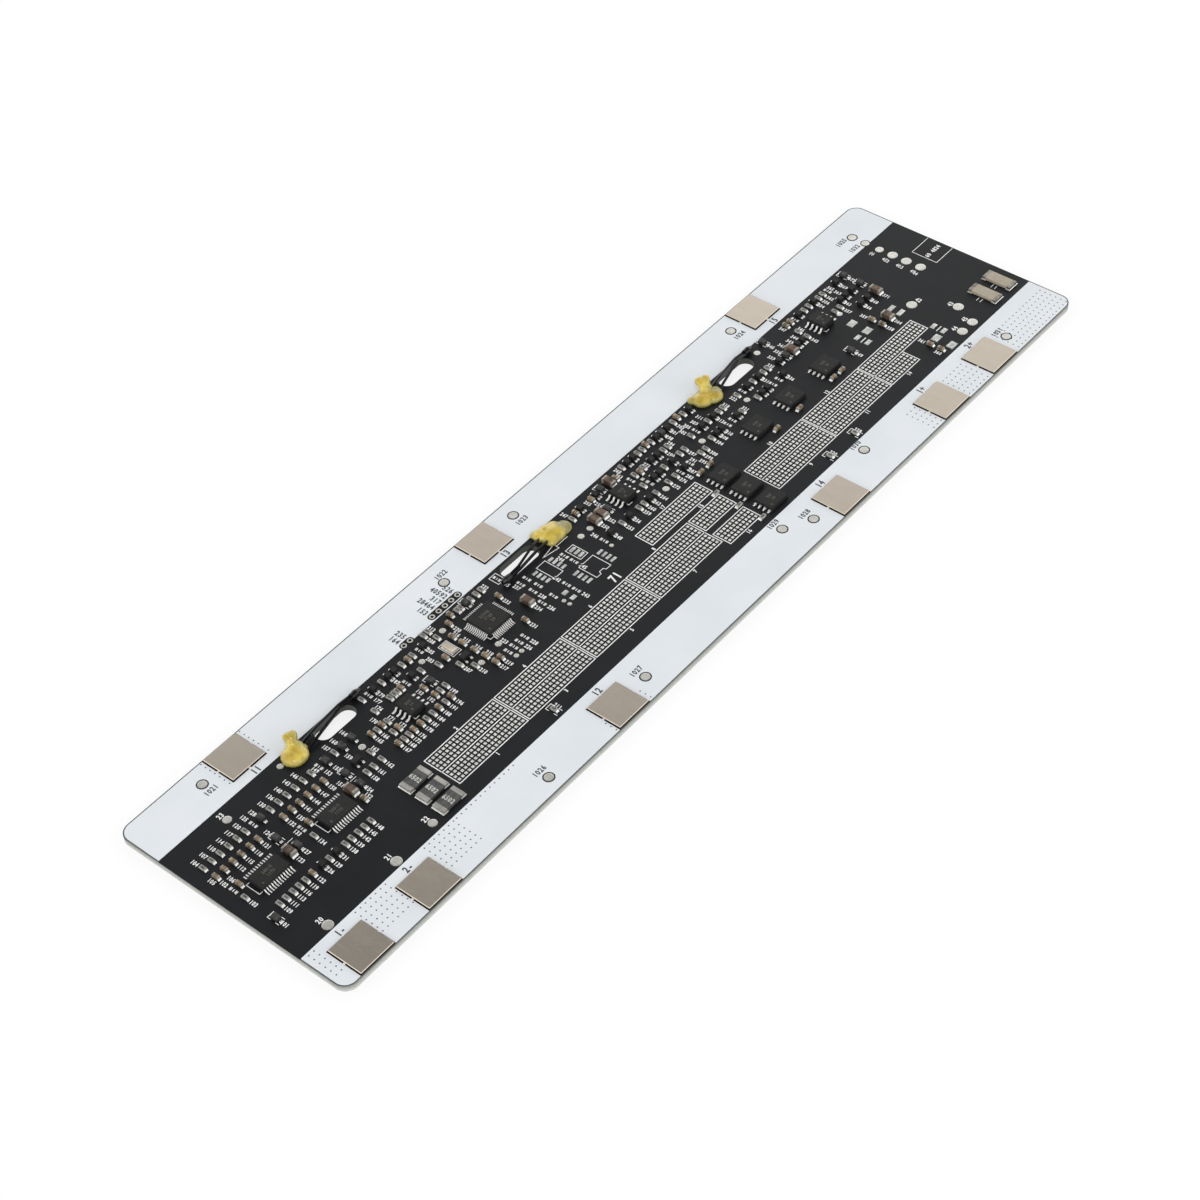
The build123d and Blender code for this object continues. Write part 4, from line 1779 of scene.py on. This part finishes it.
@dataclass
class EmptyPlaces:
    """Pads of parts that this board doesn't carry, and the print round them."""

    pad: Pair = (0.78, 0.6)
    reach: float = 0.78
    dash: Pair = (0.22, 0.2)
    chip_pad: float = 0.7
    mark_pen: float = 0.25
    sign: str = "71"
    sign_place: Pair = (114.0, 29.0)
    sign_height: float = 2.2
    upright: tuple[Pair, ...] = (
        (18.2, 43.1), (37.0, 43.1), (4.1, 34.4), (23.3, 34.5), (57.3, 48.4), (72.9, 48.4), (64.5, 44.3),
        (83.9, 33.1), (85.7, 33.1), (87.4, 33.1), (89.2, 33.1), (100.4, 44.0), (102.4, 44.0),
        (98.9, 36.6), (101.9, 36.0), (106.2, 36.0), (106.2, 33.2), (112.5, 42.0), (112.5, 39.2),
        (121.2, 38.0), (139.4, 45.4), (147.9, 38.1), (151.4, 38.2), (160.6, 43.7), (177.4, 43.5),
        (166.5, 39.3), (168.3, 39.3), (183.4, 39.3), (185.5, 39.2), (204.6, 49.0), (217.5, 49.0),
        (102.4, 40.7), (100.4, 40.5), (98.55, 49.2),
    )
    chip_rows: tuple[tuple[float, float, tuple[float, ...], float], ...] = (
        (104.7, 109.9, (43.65, 42.45, 41.2, 39.95), 1.5),
        (109.95, 117.95, (36.5, 35.25, 34.0, 32.7), 1.7),
    )
    plates: tuple[Area, ...] = (
        (211.2, 37.2, 2.4, 1.8), (211.2, 32.8, 2.4, 1.8), (218.3, 18.2, 2.4, 1.8),
        (218.3, 13.9, 2.4, 1.8), (221.0, 33.0, 2.4, 1.2), (221.0, 30.3, 2.4, 1.2),
        (207.9, 33.2, 1.9, 1.1), (207.9, 30.2, 1.9, 1.1), (221.4, 21.2, 1.9, 1.1),
        (221.4, 18.3, 1.9, 1.1), (104.1, 34.6, 1.5, 1.1), (104.1, 32.3, 1.5, 1.1),
        (115.0, 41.8, 1.7, 0.8), (115.0, 40.5, 1.7, 0.8), (115.0, 39.3, 1.7, 0.8),
        (141.2, 43.5, 0.9, 0.8), (141.2, 42.1, 0.9, 0.8), (141.2, 40.7, 0.9, 0.8),
    )
    outlines: tuple[Area, ...] = (
        (106.0, 39.2, 108.8, 44.4), (113.7, 38.4, 116.2, 42.7), (97.5, 47.8, 99.6, 50.6),
    )
    marks: tuple[Area, ...] = ((207.0, 31.6, 208.8, 31.6), (220.5, 19.7, 222.3, 19.7))
    lines: tuple[Area, ...] = (
        (111.6, 37.1, 116.3, 37.1), (111.6, 37.1, 111.6, 32.0), (116.3, 37.1, 116.3, 32.0),
        (111.6, 32.0, 113.0, 32.0), (114.8, 32.0, 116.3, 32.0), (113.0, 32.0, 113.3, 32.7),
        (113.3, 32.7, 114.5, 32.7), (114.5, 32.7, 114.8, 32.0), (109.2, 45.3, 113.7, 46.1),
        (109.2, 45.3, 113.7, 44.5), (113.7, 46.1, 113.7, 44.5), (113.7, 45.3, 117.4, 45.3),
    )

    def build(self, ctx: Context) -> None:
        """Lay the pads and print the outlines.

        Args:
            ctx: Shared context.
        """
        tray = Tray()
        for station, row in self.upright:
            for side in (-self.reach, self.reach):
                ctx.bare_pad((station, row + side), *self.pad)
            half, pen = self.dash
            ctx.stroke((station - half, row), (station + half, row), pen)
        for left, right, rows, length in self.chip_rows:
            for row in rows:
                ctx.bare_pad((left, row), length, self.chip_pad, tray)
                ctx.bare_pad((right, row), length, self.chip_pad, tray)
        for station, row, length, width in self.plates:
            ctx.bare_pad((station, row), length, width, tray)
        tray.piece("empty_plates", BARE_PLATE, Slot.TIN)
        for sides in self.outlines:
            ctx.outline(*sides)
        ctx.strokes(self.marks, self.mark_pen)
        ctx.strokes(self.lines)
        ctx.label(self.sign, self.sign_place, self.sign_height, Turn.ALONG)


@dataclass
class PrintedBrackets:
    """Printed corners and brackets beside chips and diodes."""

    half: float = 0.85
    inner: float = 0.75
    outer: float = 1.5
    cross: float = 1.55
    box: Area = (75.9, 41.4, 78.4, 45.8)
    sign: str = "60 4824"
    sign_place: Pair = (244.2, 37.4)
    sign_height: float = 1.15
    pair_station: float = 234.9
    pair_rows: tuple[float, ...] = (48.7, 44.2, 40.1, 35.9)
    pair_height: float = 1.0
    corners: tuple[Area, ...] = ((6.5, 29.6, 7.4, 33.3), (25.7, 29.6, 26.6, 33.3))
    rings: tuple[Pair, ...] = (
        (18.4, 36.8), (38.9, 37.4), (4.3, 22.9), (89.0, 49.7), (67.9, 40.6), (77.2, 14.7),
        (133.0, 49.0), (129.1, 43.7), (171.5, 14.3), (180.8, 14.3), (193.6, 50.1), (193.0, 42.9),
        (224.3, 49.3), (224.3, 44.4), (203.2, 31.7),
    )
    lines: tuple[Area, ...] = (
        (58.3, 36.0, 59.4, 36.0), (58.3, 36.0, 58.3, 36.7), (133.0, 40.7, 134.1, 40.7),
        (133.0, 40.7, 133.0, 41.4), (205.3, 40.4, 206.4, 40.4), (205.3, 40.4, 205.3, 41.1),
        (84.3, 38.4, 84.3, 39.3), (84.3, 38.4, 85.2, 38.4), (18.9, 34.3, 20.4, 34.3),
        (38.0, 35.2, 39.6, 35.2), (234.9, 17.4, 236.0, 17.4), (234.9, 18.4, 236.0, 18.4),
        (240.9, 17.4, 242.0, 17.4), (240.9, 18.4, 242.0, 18.4), (241.1, 34.1, 247.6, 34.1),
        (241.1, 41.2, 247.6, 41.2), (241.1, 34.1, 241.1, 41.2),
    )

    def build(self, ctx: Context) -> None:
        """Print them all.

        Args:
            ctx: Shared context.
        """
        for left, low, right, high in self.corners:
            ctx.strokes(((left, low, left, high), (left, low, right, low), (left, high, right, high)))
        for station, row in self.rings:
            left, right = station - self.half, station + self.half
            for side in (left, right):
                ctx.strokes((
                    (side, row - self.outer, side, row - self.inner),
                    (side, row + self.outer, side, row + self.inner),
                ))
            ctx.stroke((left, row + self.cross), (right, row + self.cross))
        ctx.strokes(self.lines)
        ctx.outline(*self.box)
        ctx.label(self.sign, self.sign_place, self.sign_height, Turn.ALONG)
        for number, row in enumerate(self.pair_rows, start=1):
            ctx.label(f"{number}{number}", (self.pair_station, row), self.pair_height)


@dataclass
class PartNumbers:
    """White numbers beside the small parts, wherever there is room for one."""

    height: float = 0.98
    length: float = 2.0
    first: int = 101
    gap: Pair = (0.35, 0.55)
    further: float = 1.35
    split: float = 9.0
    far_edge: float = 1.0
    near_edge: float = 0.3
    empty_half: Pair = (0.4, 1.1)
    nodes: tuple[str, ...] = (
        "resistors", "capacitors", "transistor_bodies", "diode_bodies", "large_capacitors",
    )

    def parts(self, ctx: Context) -> list[SolidBox]:
        """Find what is numbered: the small parts and the empty places.

        Args:
            ctx: Shared context.

        Returns:
            Their boxes, from the lowest X upward.
        """
        boxes = [box for node in self.nodes for box in solid_boxes(node)]
        half = Vector((self.empty_half[0] * MM, self.empty_half[1] * MM, 0))
        for station, row in EmptyPlaces.upright:
            middle = Vector((*ctx.plan.at(station, row), ctx.plan.top))
            boxes.append(SolidBox(middle - half, middle + half))
        return sorted(boxes, key=lambda box: box.low.x)

    def spots(self, box: SolidBox) -> list[Pair]:
        """List the places to try for one part: away from the split line, toward it, then beside.

        Args:
            box: The part's box.

        Returns:
            X and Y of each place, in metres.
        """
        across = box.size.x / 2 + (self.gap[0] + self.height / 2) * MM
        down = box.size.y / 2 + (self.gap[1] + self.length / 2) * MM
        if box.middle.y <= self.split * MM:
            order = [(0, -down), (0, down)]
        else:
            order = [(0, down), (0, -down)]
        order += [(across, 0), (-across, 0), (0, self.further * down), (0, -self.further * down)]
        return [(box.middle.x + along, box.middle.y + over) for along, over in order]

    def fits(self, ctx: Context, area: Area) -> bool:
        """Find whether a number's area lies between the bands and clear of all that is taken.

        Args:
            ctx: Shared context.
            area: The area.

        Returns:
            Whether the number fits there.
        """
        left, low, right, high = area
        plan = ctx.plan
        inside = low > plan.print_low and high < plan.print_high
        near = left > plan.low.x + self.near_edge * MM
        return inside and near and right < plan.high.x - self.far_edge * MM and ctx.sheet.is_free(area)

    def build(self, ctx: Context) -> None:
        """Number the parts from the near end, and leave out those without room.

        Args:
            ctx: Shared context.
        """
        parts = self.parts(ctx)
        for number, box in enumerate(parts, start=self.first):
            for spot in self.spots(box):
                area = around(spot, self.height / 2 * MM, self.length / 2 * MM)
                if self.fits(ctx, area):
                    ctx.models.write(ctx.labels, str(number), spot, self.height * MM, ctx.plan.top)
                    ctx.sheet.take(area)
                    break
        LOG.info("printed numbers up to %d", self.first + len(parts) - 1)


@dataclass
class Thermistors:
    """Beads, lead pairs and the adhesive that holds each pair."""

    detail: int = 3
    voxel: float = 0.15
    smoothing: int = 6
    fold: float = 1.6
    swell: float = 0.12
    clear: float = 0.8
    masses: tuple[tuple[tuple[float, ...], ...], ...] = (
        (
            (36.0, 48.9, 0.3, 3.1, 2.9, 1.6), (37.0, 49.7, 0.8, 2.2, 1.9, 1.4),
            (37.8, 49.1, 0.2, 1.8, 1.7, 1.0), (37.4, 50.8, 1.7, 1.4, 1.4, 1.0),
            (37.9, 51.6, 2.4, 1.45, 1.45, 1.0), (37.5, 52.1, 2.5, 1.1, 1.1, 0.85),
            (38.6, 51.7, 2.6, 1.0, 1.0, 0.8),
        ),
        (
            (116.3, 48.2, 0.2, 3.7, 2.7, 1.55), (113.9, 49.8, 0.5, 2.0, 1.9, 1.15),
            (114.2, 47.0, 0.3, 1.7, 1.5, 0.9), (118.6, 47.9, 0.1, 2.5, 2.2, 0.75),
            (113.1, 51.0, 0.4, 1.1, 1.1, 0.7), (117.2, 49.6, 0.3, 2.1, 1.6, 1.1),
            (115.4, 50.0, 0.4, 2.1, 1.5, 1.2),
        ),
        (
            (169.6, 48.9, 0.2, 2.7, 2.5, 1.4), (171.9, 47.8, 0.2, 2.6, 2.4, 1.4),
            (167.9, 50.5, 0.3, 1.3, 1.3, 0.8), (173.4, 48.2, 0.3, 1.5, 1.5, 1.1),
            (172.1, 50.0, 1.4, 1.6, 1.5, 1.2), (172.6, 51.0, 2.3, 1.6, 1.6, 1.0),
            (172.2, 51.8, 2.5, 1.2, 1.2, 0.85), (173.6, 51.2, 2.6, 1.1, 1.1, 0.8),
        ),
    )

    def lump(
        self, ctx: Context, number: int, masses: tuple[tuple[float, ...], ...]
    ) -> bpy.types.Object:
        """Model one lump from rounded masses that are melted together.

        Args:
            ctx: Shared context.
            number: Which lump, from 1.
            masses: Plan place, height above the board and three radii of each, in millimetres.

        Returns:
            The finished lump.
        """
        parts = []
        for station, row, height, *radii in masses:
            x, y = ctx.plan.at(station, row)
            parts.append(new_primitive(
                bpy.ops.mesh.primitive_ico_sphere_add, "mass", subdivisions=self.detail, radius=1,
                location=(x, y, ctx.plan.top + height * MM), scale=[radius * MM for radius in radii],
            ))
        make_active(parts[0])
        for part in parts:
            part.select_set(True)
        bpy.ops.object.join()
        lump = bpy.context.object
        lump.name = f"adhesive_lump_{number}"
        node = f"adhesive_{number}"
        self.melt(lump)
        self.trim(lump, ctx.plan.top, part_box(node)[1].z)
        bpy.ops.object.shade_smooth()
        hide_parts(node)
        return finish_piece(lump, ADHESIVE)

    def melt(self, lump: bpy.types.Object) -> None:
        """Melt joined masses into one skin and roughen it gently.

        Args:
            lump: The joined masses.
        """
        make_active(lump)
        remesh = lump.modifiers.new("melt", "REMESH")
        remesh.mode = "VOXEL"
        remesh.voxel_size = self.voxel * MM
        bpy.ops.object.modifier_apply(modifier=remesh.name)
        smooth = lump.modifiers.new("smooth", "SMOOTH")
        smooth.iterations = self.smoothing
        bpy.ops.object.modifier_apply(modifier=smooth.name)
        clouds = bpy.data.textures.new("folds", "CLOUDS")
        clouds.noise_scale = self.fold * MM
        folds = lump.modifiers.new("folds", "DISPLACE")
        folds.texture = clouds
        folds.strength = self.swell * MM
        bpy.ops.object.modifier_apply(modifier=folds.name)

    def trim(self, lump: bpy.types.Object, foot: float, peak: float) -> None:
        """Cut the lump flat on the board and keep it no higher than its CAD solid.

        Args:
            lump: The melted lump.
            foot: Height of the board's top, in metres.
            peak: Highest point of the CAD solid, in metres.
        """
        make_active(lump)
        bpy.ops.object.mode_set(mode="EDIT")
        bpy.ops.mesh.select_all(action="SELECT")
        bpy.ops.mesh.bisect(
            plane_co=(0, 0, foot), plane_no=(0, 0, 1), clear_inner=True, use_fill=True,
        )
        bpy.ops.object.mode_set(mode="OBJECT")
        for vert in lump.data.vertices:
            vert.co.z = min(vert.co.z, peak)

    def build(self, ctx: Context) -> None:
        """Dress the thermistors and model their adhesive.

        Args:
            ctx: Shared context.
        """
        for number, masses in enumerate(self.masses, start=1):
            dress([f"thermistor_{number}_bead"], BEAD)
            dress([f"thermistor_{number}_leads"], SLEEVE)
            self.lump(ctx, number, masses)
            ctx.sheet.take(SolidBox(*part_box(f"adhesive_{number}")).flat())
            ctx.sheet.take(SolidBox(*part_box(f"thermistor_{number}_leads")).flat(self.clear * MM))


# Studio


@dataclass(frozen=True)
class Studio:
    """Plain pale floor, soft light and the photograph's camera."""

    lens: float = 79.5675
    sensor: float = 36.0
    clip: Pair = (0.01, 20.0)
    camera_place: Triple = (-0.30165, -0.27777, 0.40514)
    camera_target: Triple = (-0.01717, -0.00465, 0.0016)
    camera_roll: float = 5.5005
    floor_size: float = 4.0
    floor_height: float = -0.00005
    floor_tone: Tone = (0.94, 0.94, 0.94, 1)
    floor_glow: float = 1.04
    floor_share: float = 0.72
    sun_power: float = 0.55
    sun_spread: float = 18.0
    sun_turn: Triple = (22.0, -16.0, 0.0)
    sky_peak: float = 1.6
    sky: tuple[Pair, ...] = (
        (0.0, 1.0), (0.44, 1.0), (0.56, 0.78), (0.64, 0.68), (0.69, 0.53), (0.74, 0.4), (0.79, 0.22),
        (0.85, 0.12),
    )

    def camera(self) -> None:
        """Stand the camera where the photograph was taken from."""
        data = bpy.data.cameras.new("camera")
        data.lens = self.lens
        data.sensor_width = self.sensor
        data.clip_start, data.clip_end = self.clip
        camera = bpy.data.objects.new("camera", data)
        bpy.context.scene.collection.objects.link(camera)
        place = Vector(self.camera_place)
        forward = (Vector(self.camera_target) - place).normalized()
        level = forward.cross(Vector((0, 0, 1))).normalized()
        above = level.cross(forward)
        roll = math.radians(self.camera_roll)
        right = level * math.cos(roll) - above * math.sin(roll)
        up = above * math.cos(roll) + level * math.sin(roll)
        turn = Matrix((right, up, -forward)).transposed().to_4x4()
        camera.matrix_world = Matrix.Translation(place) @ turn
        bpy.context.scene.camera = camera

    @staticmethod
    def seen_rays(shader: Shader) -> Value:
        """Tell the rays that show the background: camera, glossy and transmission rays.

        Args:
            shader: The material's node tree.

        Returns:
            1 for those rays, else 0.
        """
        path = "ShaderNodeLightPath"
        camera = shader.add(path, output="Is Camera Ray")
        glossy = shader.add(path, output="Is Glossy Ray")
        through = shader.add(path, output="Is Transmission Ray")
        return camera.at_least(glossy).at_least(through)

    def world(self) -> None:
        """Even light that falls off overhead, with a white background for the camera."""
        world = bpy.data.worlds.new("studio")
        world.use_nodes = True
        bpy.context.scene.world = world
        shader = Shader(world.node_tree)
        heading = shader.add("ShaderNodeTexCoord", output="Generated")
        stops = [(height, (level, level, level, 1.0)) for height, level in self.sky]
        level = shader.add("ShaderNodeValToRGB", {"stops": stops}, {"Fac": shader.axes(heading)[2]})
        grey = shader.add("ShaderNodeRGBToBW", {}, {"Color": level})
        camera = shader.add("ShaderNodeLightPath", output="Is Camera Ray")
        strength = grey * self.sky_peak * (1 - camera) + camera
        light = shader.add("ShaderNodeBackground", {}, {"Color": (1, 1, 1, 1), "Strength": strength})
        shader.add("ShaderNodeOutputWorld", {}, {"Surface": light})

    def floor(self) -> None:
        """Pale floor that keeps a soft shadow."""
        floor = new_primitive(
            bpy.ops.mesh.primitive_plane_add, "floor", size=self.floor_size,
            location=(0, 0, self.floor_height),
        )
        made = bpy.data.materials.new("floor")
        made.use_nodes = True
        shader = Shader(made.node_tree)
        matt = shader.add("ShaderNodeBsdfDiffuse", {}, {"Color": self.floor_tone})
        glow = shader.add(
            "ShaderNodeEmission", {}, {"Color": (1, 1, 1, 1), "Strength": self.floor_glow}
        )
        share = self.seen_rays(shader) * self.floor_share
        mixed = shader.add("ShaderNodeMixShader", {}, {0: share, 1: matt, 2: glow})
        shader.add("ShaderNodeOutputMaterial", {}, {"Surface": mixed})
        floor.data.materials.append(made)

    def sun(self) -> None:
        """One soft key light from above."""
        data = bpy.data.lights.new("key", "SUN")
        data.energy = self.sun_power
        data.angle = math.radians(self.sun_spread)
        key = bpy.data.objects.new("key", data)
        key.rotation_euler = [math.radians(angle) for angle in self.sun_turn]
        bpy.context.scene.collection.objects.link(key)

    def build(self) -> None:
        """Set up the studio."""
        self.camera()
        self.world()
        self.floor()
        self.sun()
        bpy.context.scene.view_settings.view_transform = "Standard"


def main() -> None:
    """Build every sub-assembly."""
    logging.basicConfig(level=logging.INFO, format="%(message)s")
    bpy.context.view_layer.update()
    ctx = Context(Models(), Plan())
    assemblies = (
        Laminate(), WeldTabs(), DotFields(), TestPads(), ProgrammingHoles(), MouldedChips(),
        ChipParts(), SmallCases(), PowerPath(), EmptyPlaces(), PrintedBrackets(), Thermistors(),
        PartNumbers(),
    )
    for assembly in assemblies:
        LOG.info("building %s", type(assembly).__name__)
        assembly.build(ctx)
    ctx.flush()
    Studio().build()


if __name__ == "__main__":
    main()
